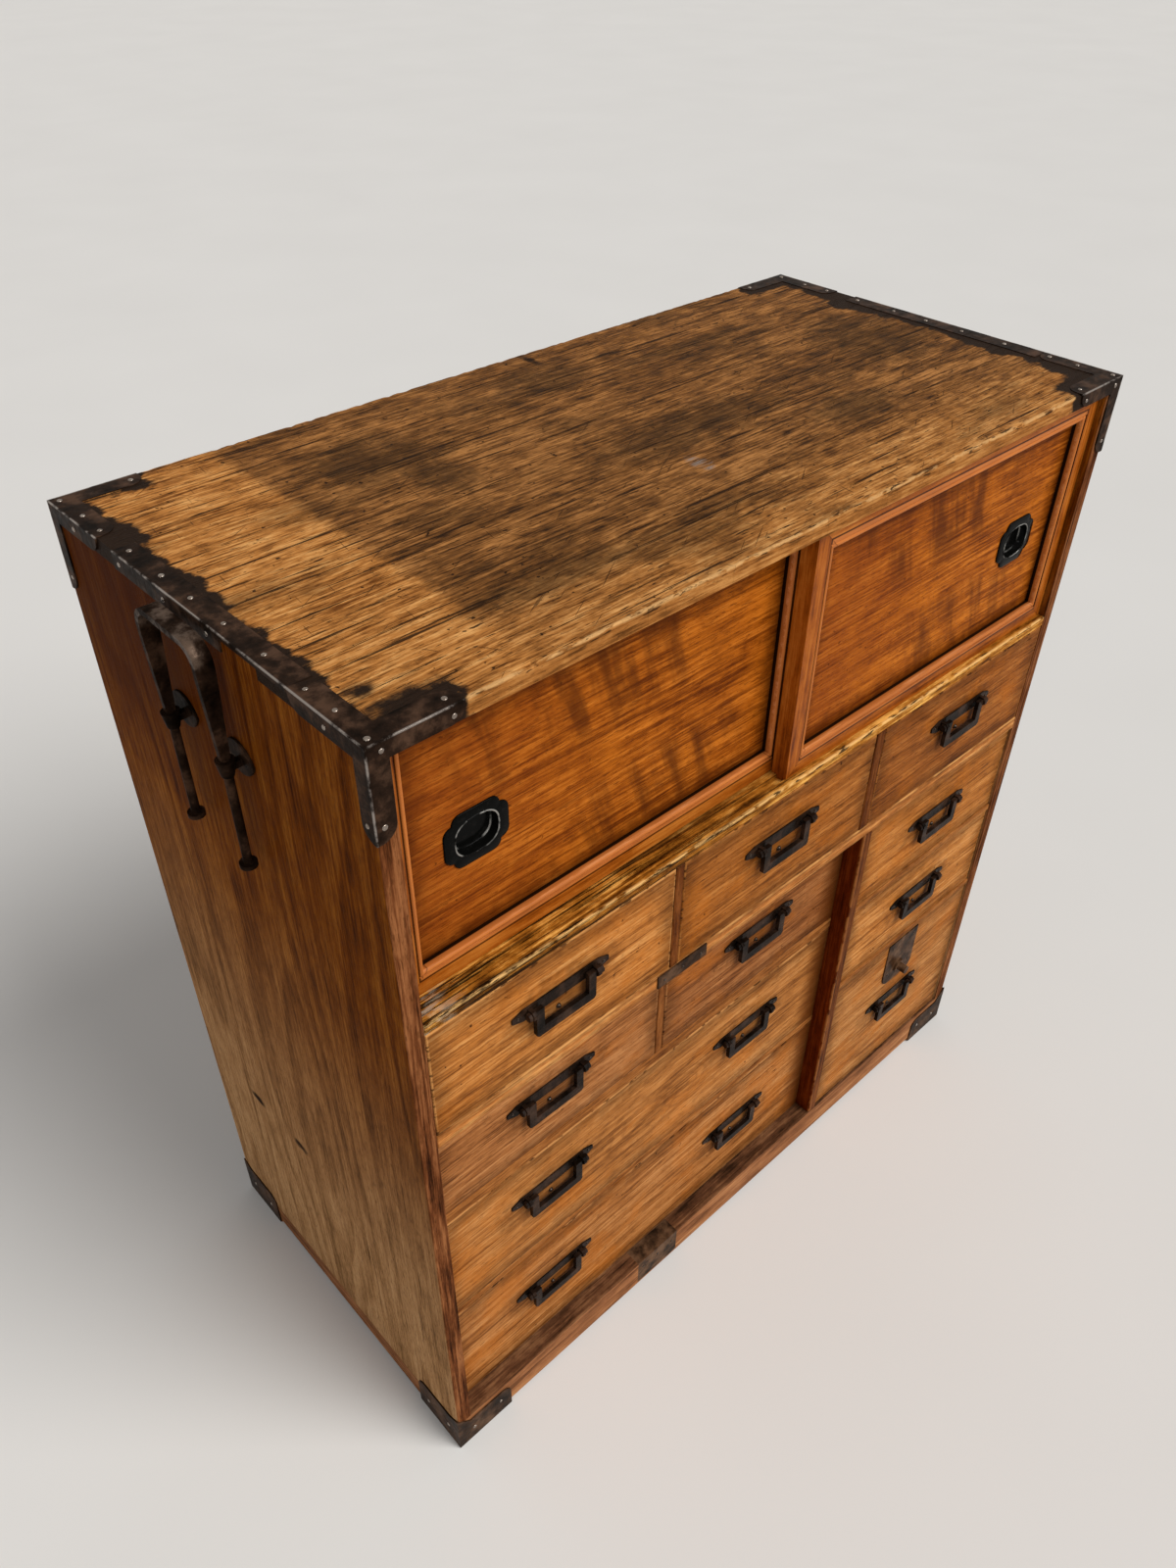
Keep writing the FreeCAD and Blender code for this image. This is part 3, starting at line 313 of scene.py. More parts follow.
class Value:
    """A number that varies over a surface; arithmetic on it adds Math nodes."""

    def __init__(self, nodes, socket):
        self.nodes = nodes
        self.socket = socket

    def math(self, operation, first, second=0.0):
        node = self.nodes.add("ShaderNodeMath", {"operation": operation}, {0: first, 1: second})
        return Value(self.nodes, node.outputs[0])

    def __add__(self, other):
        return self.math("ADD", self, other)

    __radd__ = __add__

    def __sub__(self, other):
        return self.math("SUBTRACT", self, other)

    def __rsub__(self, other):
        return self.math("SUBTRACT", other, self)

    def __mul__(self, other):
        return self.math("MULTIPLY", self, other)

    __rmul__ = __mul__

    def __truediv__(self, other):
        return self.math("DIVIDE", self, other)

    def __pow__(self, other):
        return self.math("POWER", self, other)

    def __abs__(self):
        return self.math("ABSOLUTE", self)

    def least(self, other):
        return self.math("MINIMUM", self, other)

    def most(self, other):
        return self.math("MAXIMUM", self, other)

    def wrap(self):
        """What is left of it above a whole number."""
        return self.math("FRACT", self)

    def between(self, low, high):
        """0 at low, 1 at high and beyond, with a soft start and end."""
        node = self.nodes.add("ShaderNodeMapRange", {"interpolation_type": "SMOOTHSTEP"},
                              {"Value": self, "From Min": low, "From Max": high})
        return Value(self.nodes, node.outputs[0])


class Nodes:
    """The nodes of a material or of the world."""

    def __init__(self, owner):
        owner.use_nodes = True
        self.tree = owner.node_tree

    def add(self, kind, settings, sockets):
        """Any node: its type, its settings, then the values or links of its sockets."""
        node = self.tree.nodes.new(kind)
        for name, setting in settings.items():
            if name == "stops":
                self.set_stops(node.color_ramp.elements, setting)
            else:
                setattr(node, name, setting)
        for name, value in sockets.items():
            self.feed(node.inputs[name], value)
        return node

    def set_stops(self, elements, stops):
        """Places and colours of a ramp's stops."""
        while len(elements) < len(stops):
            elements.new(0.5)
        for element, (position, colour) in zip(elements, stops):
            element.position = position
            element.color = colour

    def feed(self, socket, value):
        """Links a socket to what varies, or sets it to what doesn't."""
        if isinstance(value, Value):
            value = value.socket
        if isinstance(value, bpy.types.NodeSocket):
            self.tree.links.new(value, socket)
        else:
            socket.default_value = value


class Finish(Nodes):
    """One procedural material, on the object's own coordinates in metres and in the box of its node."""

    def __init__(self, name, node=None):
        self.material = bpy.data.materials.new(name)
        super().__init__(self.material)
        self.shader = self.tree.nodes["Principled BSDF"]
        self.place = self.add("ShaderNodeTexCoord", {}, {}).outputs["Object"]
        parts = self.add("ShaderNodeSeparateXYZ", {}, {"Vector": self.place})
        self.x, self.y, self.z = (Value(self, socket) for socket in parts.outputs)
        self.colour = None
        if node:
            self.low, self.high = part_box(node)

    def mapped(self, place, sockets):
        """Coordinates that are turned, or scaled and then moved."""
        return self.add("ShaderNodeMapping", {}, {"Vector": place, **sockets}).outputs[0]

    def noise(self, waves, seed, detail=3.0, roughness=0.55, turn=None, place=None):
        """Noise with so many waves a metre: one number, or one each along X, Y and Z."""
        place = place or self.place
        if turn:
            place = self.mapped(place, {"Rotation": turn})
        scale = waves if isinstance(waves, tuple) else (waves, waves, waves)
        shift = tuple(seed * step for step in SEED_STEP)
        place = self.mapped(place, {"Location": shift, "Scale": scale})
        sockets = {"Vector": place, "Scale": 1.0, "Detail": detail, "Roughness": roughness}
        return Value(self, self.add("ShaderNodeTexNoise", {}, sockets).outputs[0])

    def mix(self, share, first, second):
        """Colour that goes from first to second as share goes from 0 to 1."""
        sockets = {MIX_SHARE: share, MIX_FIRST: first, MIX_SECOND: second}
        return self.add("ShaderNodeMix", {"data_type": "RGBA"}, sockets).outputs[MIX_RESULT]

    def stain(self, share, tint):
        """Lays a tint over the colour, as strongly as share says."""
        self.colour = self.mix(share, self.colour, tint)

    def ramp(self, value, colours):
        """Colour along evenly spaced stops."""
        last = len(colours) - 1
        stops = [(number / last, colour) for number, colour in enumerate(colours)]
        return self.add("ShaderNodeValToRGB", {"stops": stops}, {0: value}).outputs[0]

    def done(self, roughness, relief=None, depth=0.0, metallic=0.0, shine=0.02):
        """Feeds the shader; depth is the relief's height in metres."""
        self.feed(self.shader.inputs["Base Color"], self.colour)
        self.feed(self.shader.inputs["Roughness"], roughness)
        self.feed(self.shader.inputs["Metallic"], metallic)
        self.feed(self.shader.inputs["Specular IOR Level"], shine)
        if relief is not None:
            bump = self.add("ShaderNodeBump", {}, {"Height": relief, "Distance": depth})
            self.feed(self.shader.inputs["Normal"], bump.outputs[0])
        return self.material


def grain_waves(along, slow, fine):
    """Waves a metre: slow along one axis and fine across it."""
    return tuple(slow if axis == along else fine for axis in "xyz")


class Grain:
    """The figure of one board, as numbers from 0 to 1."""

    def __init__(self, finish, along, seed, thread_waves=THREAD_WAVES):
        self.finish = finish
        self.along = along
        self.seed = seed
        self.streaks = self.noise(*STREAKS)
        self.threads = self.noise(460, thread_waves, 6, 3, 0.6)
        self.mottles = self.noise(*MOTTLES)
        self.bands = self.noise(*BANDS)
        ring = (self.noise(*RINGS) * RING_COUNT).wrap()
        self.rings = ring.between(0, 0.7) * ring.between(1.0, 0.85)
        self.pores = self.noise(*PORES).between(0.56, 0.68)

    def noise(self, fine, slow, shift, detail, roughness=0.5):
        """One layer, slow along the grain and fine across it."""
        return self.finish.noise(grain_waves(self.along, slow, fine), self.seed + shift, detail, roughness)

    def tone(self, streaks=1.7, mottles=1.0, bands=0.5, rings=0.2, threads=1.0):
        """From dark to light, with so much of each layer."""
        fine = (self.streaks - 0.5) * streaks + (self.threads - 0.5) * threads
        broad = (self.mottles - 0.5) * mottles + (self.bands - 0.5) * bands
        return 0.5 + fine + broad + (self.rings - 0.5) * rings

    def cracks(self, limit=0.36):
        """Fine dark lines, ragged and broken, along the grain."""
        return self.noise(*CRACKS).between(limit, limit - 0.05)

    def nicks(self, limit=0.72):
        """Short dents, most of them along the grain."""
        long_ones = self.noise(*DENTS).between(limit, limit + 0.05)
        round_ones = self.finish.noise(150, self.seed + 9, 2).between(limit + 0.03, limit + 0.08)
        return long_ones.most(round_ones)


# Marks on wood

def edge_gap(finish, axes):
    """How far a point is inside the nearest edge of the node's box, along the given axes."""
    gap = None
    for axis in axes:
        near, far = getattr(finish.low, axis), getattr(finish.high, axis)
        inside = (far - near) / 2 - abs(getattr(finish, axis) - (near + far) / 2)
        gap = inside if gap is None else gap.least(inside)
    return gap


def edge_darkening(finish, gap, reach, seed):
    """Ragged darkening along edges: dirt on the drawers and boards, and on the door panels simply darker
    edges.
    """
    ragged = finish.noise(60, seed, 5)
    return (gap + (ragged - 0.5) * reach).between(reach, 0.0)


def spot(finish, axes, place, size, seed):
    """A ragged patch round a place on two axes, 1 in its middle."""
    first = (getattr(finish, axes[0]) - place[0]) / size[0]
    second = (getattr(finish, axes[1]) - place[1]) / size[1]
    ragged = finish.noise(70, seed, 6, 0.65)
    return (first * first + second * second + (ragged - 0.5) * 2.4).between(1.2, 0.0)


def worn_edge(finish, arris, seed, pale, along="x", chipped=0.9):
    """A long edge rubbed pale, with dark chips; arris is the distance from it."""
    patchy = finish.noise(grain_waves(along, 60, 160), seed, 4).between(0.38, 0.52)
    finish.stain(arris.between(3.0 * MM, 1.0 * MM) * patchy * 0.85, pale)
    chips = finish.noise(grain_waves(along, 45, 330), seed + 1, 4).between(0.57, 0.62)
    finish.stain(arris.between(8 * MM, 2 * MM) * chips * chipped, BLACKENED)


def amber(finish, seed):
    """Old wax that has turned amber in patches."""
    patch = finish.noise((14, 14, 20), seed + 13, 4).between(0.48, 0.66)
    finish.stain(patch * 0.35, OLD_WAX)


def rubbed(finish, gap, seed):
    """Edges rubbed pale, here and there."""
    patchy = finish.noise(22, seed + 12, 3)
    return gap.between(2.4 * MM, 0.6 * MM) * patchy.between(0.40, 0.60)


def edge_chips(finish, gap, seed):
    """Dark chips along a front's edges."""
    chips = finish.noise((70, 70, 260), seed + 17, 4)
    return gap.between(3.5 * MM, 1.0 * MM) * chips.between(0.54, 0.60)


def pull_halo(finish, pivot):
    """Dark cloud on the wood round a pull."""
    return spot(finish, "xz", (pivot.x, pivot.z - HALO_DOWN), HALO_SIZE, pivot.x * 9)


def shaded_end(finish, seed):
    """The right end of a front in the recess, dark beside the main upright."""
    ragged = finish.noise((40, 40, 90), seed + 14, 5)
    return (finish.x + (ragged - 0.5) * 0.03).between(*SHADED_END)


def oval_figure(finish, place, size, seed):
    """Thin growth rings round a place on a front."""
    across = (finish.x - place[0]) / size[0]
    up = (finish.z - place[1]) / size[1]
    wander = finish.noise((24, 24, 40), seed, 3) - 0.5
    out = (across * across + up * up) ** 0.5 + wander * 0.8
    ring = (out * 2.4).wrap()
    return ring.between(0.0, 0.15) * ring.between(0.5, 0.2) * out.between(1.35, 1.05)


# Wood finishes

def drawer_finish(drawer, seed, wood):
    """Waxed front with handling dirt round its pulls and worn edges; the box behind it is bare."""
    finish = Finish("waxed_front_" + drawer, "drawer_" + drawer)
    dark, _, light = wood
    grain = Grain(finish, "x", seed)
    tone = grain.tone(1.8, 0.7, 0.5, 0.2, 1.7)
    finish.colour = finish.ramp(tone, wood)
    amber(finish, seed)
    finish.stain(grain.pores * 0.55, dark)
    gap = edge_gap(finish, "xz")
    finish.stain(edge_darkening(finish, gap, 26 * MM, seed + 7) * 0.5, DIRT)
    for pivot in pulls_of(drawer):
        finish.stain(pull_halo(finish, pivot) * 0.5, DIRT)
    nicks = grain.nicks(0.69)
    finish.stain(nicks * 0.85, DIRT)
    finish.stain(rubbed(finish, gap, seed) * 0.7, light)
    finish.stain(edge_chips(finish, gap, seed) * 0.8, DIRT)
    if drawer in SHADED_DRAWERS:
        finish.stain(shaded_end(finish, seed) * 0.8, DRAWER_SHADE)
    for number, (place, size) in enumerate(OVALS.get(drawer, ())):
        finish.stain(oval_figure(finish, place, size, seed + 15 + number) * 0.28, dark)
    behind = (finish.y - finish.low.y - DRAWER_FRONT).between(-0.4 * MM, 0.0)
    finish.stain(behind, bare_box(finish, tone, seed))
    relief = grain.streaks + grain.mottles * 0.5 - grain.pores * 0.4 - nicks
    return finish.done(0.38 + grain.mottles * 0.25, relief, 0.3 * MM)


def bare_box(finish, tone, seed):
    """Bare wood of a drawer's box, with the grain of its sides running back."""
    at_side = edge_gap(finish, "x").between(DRAWER_SIDE + 0.2 * MM, DRAWER_SIDE)
    side_tone = Grain(finish, "y", seed + 3).tone(2.2, 0.9)
    return finish.mix(at_side, finish.ramp(tone, BARE_WOOD), finish.ramp(side_tone, BARE_WOOD))


def divider_finish():
    """Main upright: dark front edge, and a deep red face towards the recess."""
    finish = Finish("main_upright_wax", "main_divider")
    grain = Grain(finish, "z", 211)
    tone = grain.tone()
    from_left = finish.x - finish.low.x
    recess = from_left.between(0.8 * MM, 0.2 * MM)
    finish.colour = finish.ramp(tone, DARK_WOOD)
    finish.stain(recess, finish.ramp(tone, UPRIGHT_RECESS))
    nicks = grain.nicks(0.69)
    finish.stain(nicks * 0.7, DIRT)
    arris = from_left.most(finish.y - finish.low.y)
    worn_edge(finish, arris, 213, UPRIGHT_PALE, "z", 0.2)
    return finish.done(0.36 + grain.mottles * 0.2, grain.streaks - nicks, 0.4 * MM)


def plain_wood(node, name, along, seed, wood, edge_axes, cracks):
    """Board of the case: streaked, dirty and rubbed at its edges, and a little cracked."""
    finish = Finish(name, node)
    dark, _, light = wood
    grain = Grain(finish, along, seed)
    finish.colour = finish.ramp(grain.tone(), wood)
    finish.stain(grain.pores * 0.45, dark)
    lines = grain.cracks(0.34).most(grain.nicks())
    finish.stain(lines * cracks, DIRT)
    gap = edge_gap(finish, edge_axes)
    finish.stain(edge_darkening(finish, gap, 9 * MM, seed + 7) * 0.5, DIRT)
    finish.stain(rubbed(finish, gap, seed) * 0.6, light)
    relief = grain.streaks + grain.mottles * 0.4 - grain.pores * 0.4 - lines
    return finish.done(0.42 + grain.mottles * 0.25, relief, 0.4 * MM)


def back_finish():
    """Bare back boards, each with its own tone."""
    finish = Finish("bare_back", "back_boards")
    grain = Grain(finish, "x", 261)
    row = (finish.z - finish.low.z) / ((finish.high.z - finish.low.z) / BACK_BOARDS)
    shade = ((row - row.wrap()) * 0.618).wrap()
    finish.colour = finish.ramp(grain.tone(2.2, 1.0) + (shade - 0.5) * 0.3, BARE_WOOD)
    lines = grain.cracks().most(grain.nicks())
    finish.stain(lines * 0.6, DIRT)
    joint = (0.5 - abs(row.wrap() - 0.5)).between(0.02, 0.004)
    finish.stain(joint * 0.7, BACK_JOINT)
    gap = edge_gap(finish, "xz")
    finish.stain(edge_darkening(finish, gap, 30 * MM, 268) * 0.5, DIRT)
    return finish.done(0.6 + grain.mottles * 0.2, grain.streaks - lines, 0.5 * MM)


def top_finish():
    """Worn top: golden at the left end, brown and clouded beyond it, black round the irons."""
    finish = Finish("worn_top")
    grain = Grain(finish, "x", 11, TOP_THREAD_WAVES)
    tone = grain.tone(1.6, 1.5, 0.6, 0.15, 1.9)
    finish.colour = finish.ramp(tone, TOP_BROWN)
    finish.stain(golden_part(finish), finish.ramp(tone, TOP_GOLD))
    finish.stain(top_clouds(finish) * 0.62, TOP_CLOUD)
    marks = top_scratches(finish, grain)
    finish.stain(marks * 0.92, BLACKENED)
    finish.stain(grain.pores * 0.45, TOP_PORE)
    scar = spot(finish, "xy", *TOP_SCAR, 91) * grain.streaks.between(0.44, 0.56)
    finish.stain(scar * 0.8, TOP_SCUFF)
    finish.stain(spot(finish, "xy", *BACK_NOTCH, 92), BLACKENED)
    from_front = finish.y - CASE_FRONT
    finish.stain(from_front.between(1.2 * MM, 0.4 * MM), finish.ramp(tone, TOP_FRONT))
    worn_edge(finish, from_front.most(TOP_FACE - finish.z), 95, TOP_PALE)
    finish.stain(iron_stain(finish), IRON_STAIN)
    relief = grain.streaks + grain.mottles * 0.5 - marks - grain.pores * 0.3
    return finish.done(0.40 + grain.mottles * 0.3, relief, 0.5 * MM)


def golden_part(finish):
    """The left end and the front of the top, where the wood has kept its golden colour."""
    jitter = finish.noise(90, 17) - 0.5
    along = finish.x + jitter * GOLD_BAND_RAGGED
    band = along.between(GOLD_BAND_END + GOLD_BAND_FADE, GOLD_BAND_END - GOLD_BAND_FADE)
    front_wear = (finish.y + jitter * 0.1).between(*FRONT_WEAR) * 0.8
    return band.most(front_wear)


def top_clouds(finish):
    """Dark clouds in the old wax: scattered ones, and the large ones in their places."""
    clouds = finish.noise((6, 13, 6), 23, 7, 0.66).between(0.50, 0.64) * 0.7
    for number, (place, size) in enumerate(TOP_CLOUDS):
        clouds = clouds.most(spot(finish, "xy", place, size, 24 + number))
    return clouds


def top_scratches(finish, grain):
    """Cracks along the grain, dents, and sparse scratches at several angles."""
    marks = grain.cracks(0.41).most(grain.nicks(0.66))
    for number, angle in enumerate(SCRATCH_ANGLES):
        line = finish.noise((22, 520, 1), 31 + 4 * number, 2, turn=(0, 0, angle))
        marks = marks.most(line.between(0.71, 0.75) * 0.7)
    return marks


def iron_stain(finish):
    """Black stain that the irons leave in the wood beside them."""
    from_side = CASE_HALF - abs(finish.x)
    from_end = CASE_HALF_DEEP - abs(finish.y - CASE_MIDDLE_Y)
    strip = from_side - TOP_IRON_WIDE
    leg = (from_side - TOP_IRON_FRONT).most(from_end - TOP_IRON_WIDE)
    right = finish.x.between(*RIGHT_STAIN) * RIGHT_STAIN_WIDER
    ragged = finish.noise((24, 34, 24), 41, 7, 0.6) - 0.5
    stain = (strip.least(leg) - right + ragged * STAIN_RAGGED).between(7 * MM, 1 * MM)
    for number, (place, size) in enumerate(IRON_STAINS):
        stain = stain.most(spot(finish, "xy", place, size, 45 + number))
    return stain


def side_finish(hand, seed):
    """Side board: upright grain, dark and red above, dull and lighter towards the floor, partly the wood's
    own tone and partly a painted reflection of the floor.
    """
    finish = Finish(hand + "_side_wax")
    grain = Grain(finish, "z", seed)
    tone = grain.tone(1.5, 0.8, 0.3, 0.3)
    drift = finish.noise((4, 4, 2), seed + 14, 3) - 0.5
    red = (finish.z + drift * 0.3).between(*SIDE_SHEEN_TO_RED)
    # Dull and lighter below: the wood's tone with a painted reflection of the floor
    finish.colour = finish.ramp(tone, SIDE_LOW_AND_SHEEN)
    finish.stain(red, finish.ramp(tone, SIDE_RED))
    handled = (finish.z + drift * 0.2).between(*SIDE_HANDLED_UP) * finish.y.between(*SIDE_HANDLED_BACK)
    finish.stain(handled * 0.75, SIDE_HANDLED)
    for number, place in enumerate(SIDE_SPOTS):
        mark = spot(finish, "yz", place, SIDE_SPOT_SIZE, seed + 15 + number)
        finish.stain(mark, BLACKENED)
    front_edge = finish.ramp(grain.tone(2.2, 0.8, 0.4, 0.2, 2.2), SIDE_EDGE)
    finish.stain((finish.y - CASE_FRONT).between(1.4 * MM, 0.5 * MM), front_edge)
    finish.stain(grain.pores * 0.5, SIDE_PORE)
    lines = grain.cracks().most(grain.nicks(0.76) * 0.7)
    finish.stain(lines * 0.55, DIRT)
    relief = grain.streaks + grain.mottles * 0.3 - grain.pores * 0.4 - lines
    return finish.done(0.36 + grain.mottles * 0.25, relief, 0.4 * MM, shine=0.005)


def panel_finish(hand, seed):
    """Door panel: reddish, fine level grain, with slanting smudges above and below."""
    finish = Finish(hand + "_door_panel_wax", hand + "_door_panel")
    left_edge = finish.low.x
    dark = PANEL_WOOD[0]
    grain = Grain(finish, "x", seed)
    finish.colour = finish.ramp(grain.tone(1.2, 1.3, 0.9, 0.1, 2.2), PANEL_WOOD)
    amber(finish, seed)
    left = (finish.x + (grain.mottles - 0.5) * 0.2).between(left_edge + 0.22, left_edge + 0.02)
    finish.stain(left * 0.45, PANEL_LEFT)
    finish.stain(grain.cracks(0.43) * 0.5, dark)
    finish.stain(panel_smudges(finish, seed) * 0.75, PANEL_SMUDGE)
    finish.stain(grain.pores * 0.6, dark)
    gap = edge_gap(finish, "xz")
    # Darker towards the panel's edges, round the frame
    finish.stain(edge_darkening(finish, gap, 30 * MM, seed + 7) * 0.75, PANEL_EDGE_DARK)
    finish.stain(grain.nicks(0.67) * 0.6, PANEL_NICK)
    relief = grain.streaks * 0.6 - grain.pores * 0.3
    return finish.done(0.30 + grain.mottles * 0.2, relief, 0.25 * MM)


def panel_smudges(finish, seed):
    """Dark flames that lean across the grain, in two rows."""
    down = finish.high.z - finish.z
    along = finish.x - finish.low.x
    lean = finish.x - down * SMUDGE_LEAN
    place = finish.add("ShaderNodeCombineXYZ", {}, {"X": lean, "Z": finish.z}).outputs[0]
    flames = finish.noise((44, 1, 7), seed + 4, 3, place=place).between(0.40, 0.66)
    patch = finish.noise((16, 16, 9), seed + 5, 3).between(0.26, 0.46)
    rows = []
    for fade, start, end in (UPPER_SMUDGES, LOWER_SMUDGES):
        rows.append(down.between(*fade) * along.between(*start) * along.between(*end))
    upper, lower = rows
    return flames * patch * upper.most(lower)


def door_frame_finish(hand, seed):
    """Mitred door frame: level grain in its rails, upright grain in its stiles, painted light on the bead,
    a painted highlight on its crest, and painted shade deep in the reveal.
    """
    finish = Finish(hand + "_door_frame_wax", hand + "_door_frame")
    level = Grain(finish, "x", seed)
    upright = Grain(finish, "z", seed + 20)
    rail_gap = edge_gap(finish, "z")
    stile_gap = edge_gap(finish, "x")
    stile = (rail_gap - stile_gap).between(-0.3 * MM, 0.3 * MM)
    finish.colour = finish.ramp(level.tone(), DOOR_FRAME_WOOD)
    finish.stain(stile, finish.ramp(upright.tone(), DOOR_FRAME_WOOD))
    mitre = abs(rail_gap - stile_gap).between(0.9 * MM, 0.3 * MM)
    near_edge = rail_gap.least(stile_gap)
    groove = abs(near_edge - DOOR_GROOVE_IN).between(1.4 * MM, 0.3 * MM)
    bead = near_edge.between(DOOR_GROOVE_IN + 0.6 * MM, DOOR_GROOVE_IN + 1.4 * MM)
    sunk = finish.y - finish.low.y
    # The bead painted lighter, as painted light falling on it
    finish.stain(bead * 0.55, BEAD_PAINTED_LIGHT)
    # Painted highlight along the bead's crest, streaked with the grain
    bead_highlight = bead * sunk.between(0.6 * MM, 1.6 * MM) * sunk.between(4.2 * MM, 2.8 * MM)
    finish.stain(bead_highlight * level.streaks.between(0.42, 0.62) * 0.6, BEAD_HIGHLIGHT)
    finish.stain(bead * sunk.between(2 * MM, DOOR_REVEAL) * 0.6, BEAD_SHADE)
    finish.stain(groove.most(mitre * 0.5) * 0.9, FRAME_GROOVE)
    # Dark joint where the panel meets the frame, with painted shade over the deep part of the reveal
    joint = bead * sunk.between(DOOR_REVEAL - 3.8 * MM, DOOR_REVEAL - 3.0 * MM)
    finish.stain(joint, PANEL_JOINT_AND_SHADE)
    return finish.done(0.30 + level.mottles * 0.2, level.streaks * 0.5, 0.3 * MM, shine=0.08)


def shelf_finish():
    """Worn door shelf: orange, with black weathered cracks towards its left end."""
    finish = Finish("worn_door_shelf", "door_shelf")
    grain = Grain(finish, "x", 51)
    finish.colour = finish.ramp(grain.tone(2.6, 1.8, 0.9, 0.1), SHELF_WOOD)
    weather = (finish.x + (finish.noise(9, 53) - 0.5) * 0.3).between(*SHELF_WEATHER)
    weathered = grain.noise(*WEATHER_CRACKS).between(0.50, 0.40) * weather
    finish.stain(weathered * 0.95, SHELF_CRACK)
    finish.stain(grain.cracks(0.38) * 0.7, BLACKENED)
    # Pale whitish streaks along the grain at the shelf's left end
    whitish_streaks = finish.x.between(*SHELF_WHITISH_END) * finish.noise((50, 160, 160), 59, 4).between(0.45, 0.6)
    finish.stain(whitish_streaks * 0.7, SHELF_WHITISH)
    arris = (finish.y - finish.low.y).most(finish.high.z - finish.z)
    worn_edge(finish, arris, 56, SHELF_PALE)
    return finish.done(0.40 + grain.mottles * 0.2, grain.streaks - weathered * 2, 0.7 * MM)


def base_finish():
    """Base: level grain in front and back rails, grain along the sides, and painted shade darkening its
    sill.
    """
    finish = Finish("worn_base")
    level = Grain(finish, "x", 61)
    deep = Grain(finish, "y", 67)
    past_rail = (finish.y - CASE_FRONT).between(BASE_RAIL_DEEP - 1 * MM, BASE_RAIL_DEEP)
    at_side = (abs(finish.x) - BASE_SIDE_IN).between(0, 1 * MM) * past_rail
    finish.colour = finish.ramp(level.tone(), BASE_WOOD)
    finish.stain(at_side, finish.ramp(deep.tone(), BASE_WOOD))
    # The sill's top face darker: painted shade below the drawers
    sill = finish.z.between(SILL_FACE - 1 * MM, SILL_FACE)
    finish.stain(sill, finish.ramp(level.tone(2.2, 1.6), SILL_SHADE_WOOD))
    lines = level.cracks(0.37)
    finish.stain(lines * 0.6, DIRT)
    return finish.done(0.45 + level.mottles * 0.2, level.streaks - lines, 0.4 * MM)


# Metal finishes

class Iron(Finish):
    """Black-brown lacquered iron, forged unevenly."""

    def __init__(self, name, seed, iron, roughness, node=None):
        super().__init__(name, node)
        self.patch = self.noise(45, seed, 6, 0.65)
        self.forge = self.noise(170, seed + 1, 4)
        self.colour = self.ramp(0.5 + (self.patch - 0.5) * 3.4, iron)
        self.gloss = roughness + (self.forge - 0.5) * 0.4

    def forged(self, metallic, shine):
        """Feeds the shader with the iron's colour, gloss and hammered relief."""
        relief = self.forge * 0.8 + self.patch * 0.4
        return self.done(self.gloss, relief, 0.4 * MM, metallic, shine)


def iron_finish(name, seed, roughness, shine, iron, dust=0.0):
    """Iron, with a share of dust near the floor."""
    finish = Iron(name, seed, iron, roughness)
    if dust:
        low_down = finish.z.between(60 * MM, 40 * MM) * finish.patch.between(0.35, 0.65)
        finish.stain(low_down * dust, IRON_DUST)
    return finish.forged(0.0, shine)


def handle_finish(hand, seed):
    """Iron that is worn bright where hands hold it, with painted glints there too."""
    finish = Iron(hand + "_handle_iron", seed, BLACK_IRON, 0.30, "carrying_handle_" + hand)
    grip = finish.high.z - GRIP_DEEP
    # Patches worn bright near the grip, which are also painted glints
    held_and_glint = (finish.z - grip).between(-8 * MM, 0.0) * finish.patch.between(0.44, 0.62) * 0.4
    finish.stain(held_and_glint, HELD_IRON_AND_GLINT)
    return finish.forged(held_and_glint, 0.005)


def binding_finish():
    """Iron whose long edges are worn to bright metal."""
    finish = Iron("binding_iron", 401, BLACK_IRON, 0.36, "top_irons")
    thinner = IRON_SHEET - IRON_SEEN
    finish.high = finish.high - Vector((0, thinner, thinner))
    top = finish.high.z - finish.z
    side = edge_gap(finish, "x")
    end = edge_gap(finish, "y")
    arris = top.most(side).least(top.most(end)).least(side.most(end))
    bright = arris.between(1.5 * MM, 0.5 * MM) * finish.patch.between(0.40, 0.55)
    finish.stain(bright, WORN_IRON)
    return finish.forged(bright * 0.8, 0.015)


def nail_finish(name, iron):
    """Nail heads, polished by use; the bright ones are also painted glints."""
    finish = Finish(name)
    patch = finish.noise(400, 421)
    finish.colour = finish.ramp(patch, iron)
    return finish.done(0.18 + patch * 0.15, metallic=1.0)


def lacquer_finish(hand):
    """Glossy black finger cup, faintly dusty, worn bright along its rim and round its floor, with painted
    highlights there too.
    """
    finish = Finish(hand + "_cup_lacquer", hand + "_door_pull")
    face = finish.low.y + CUP_FLANGE
    depth = finish.high.y - face
    dust = finish.noise(220, 71, 3)
    finish.colour = finish.mix(dust.between(0.5, 0.75) * 0.2, LACQUER, LACQUER_DUST)
    sunk = finish.y - face
    # Rim and floor ring: worn bright, and painted highlights that stand in for the lacquer's reflections
    rim = sunk.between(-1.45 * MM, -1.75 * MM)
    floor_ring = sunk.between(0.70 * depth, 0.78 * depth) * sunk.between(0.875 * depth, 0.86 * depth)
    patch = finish.noise(70, 73, 3).between(0.42, 0.62)
    worn = rim.most(floor_ring * 0.7) * patch * 0.8
    finish.stain(worn, LACQUER_WORN_AND_HIGHLIGHT)
    gloss = 0.08 + dust.between(0.4, 0.7) * 0.12 + worn * 0.2
    return finish.done(gloss, dust, 0.02 * MM, metallic=worn * 0.8, shine=0.03)


# Dress the frame

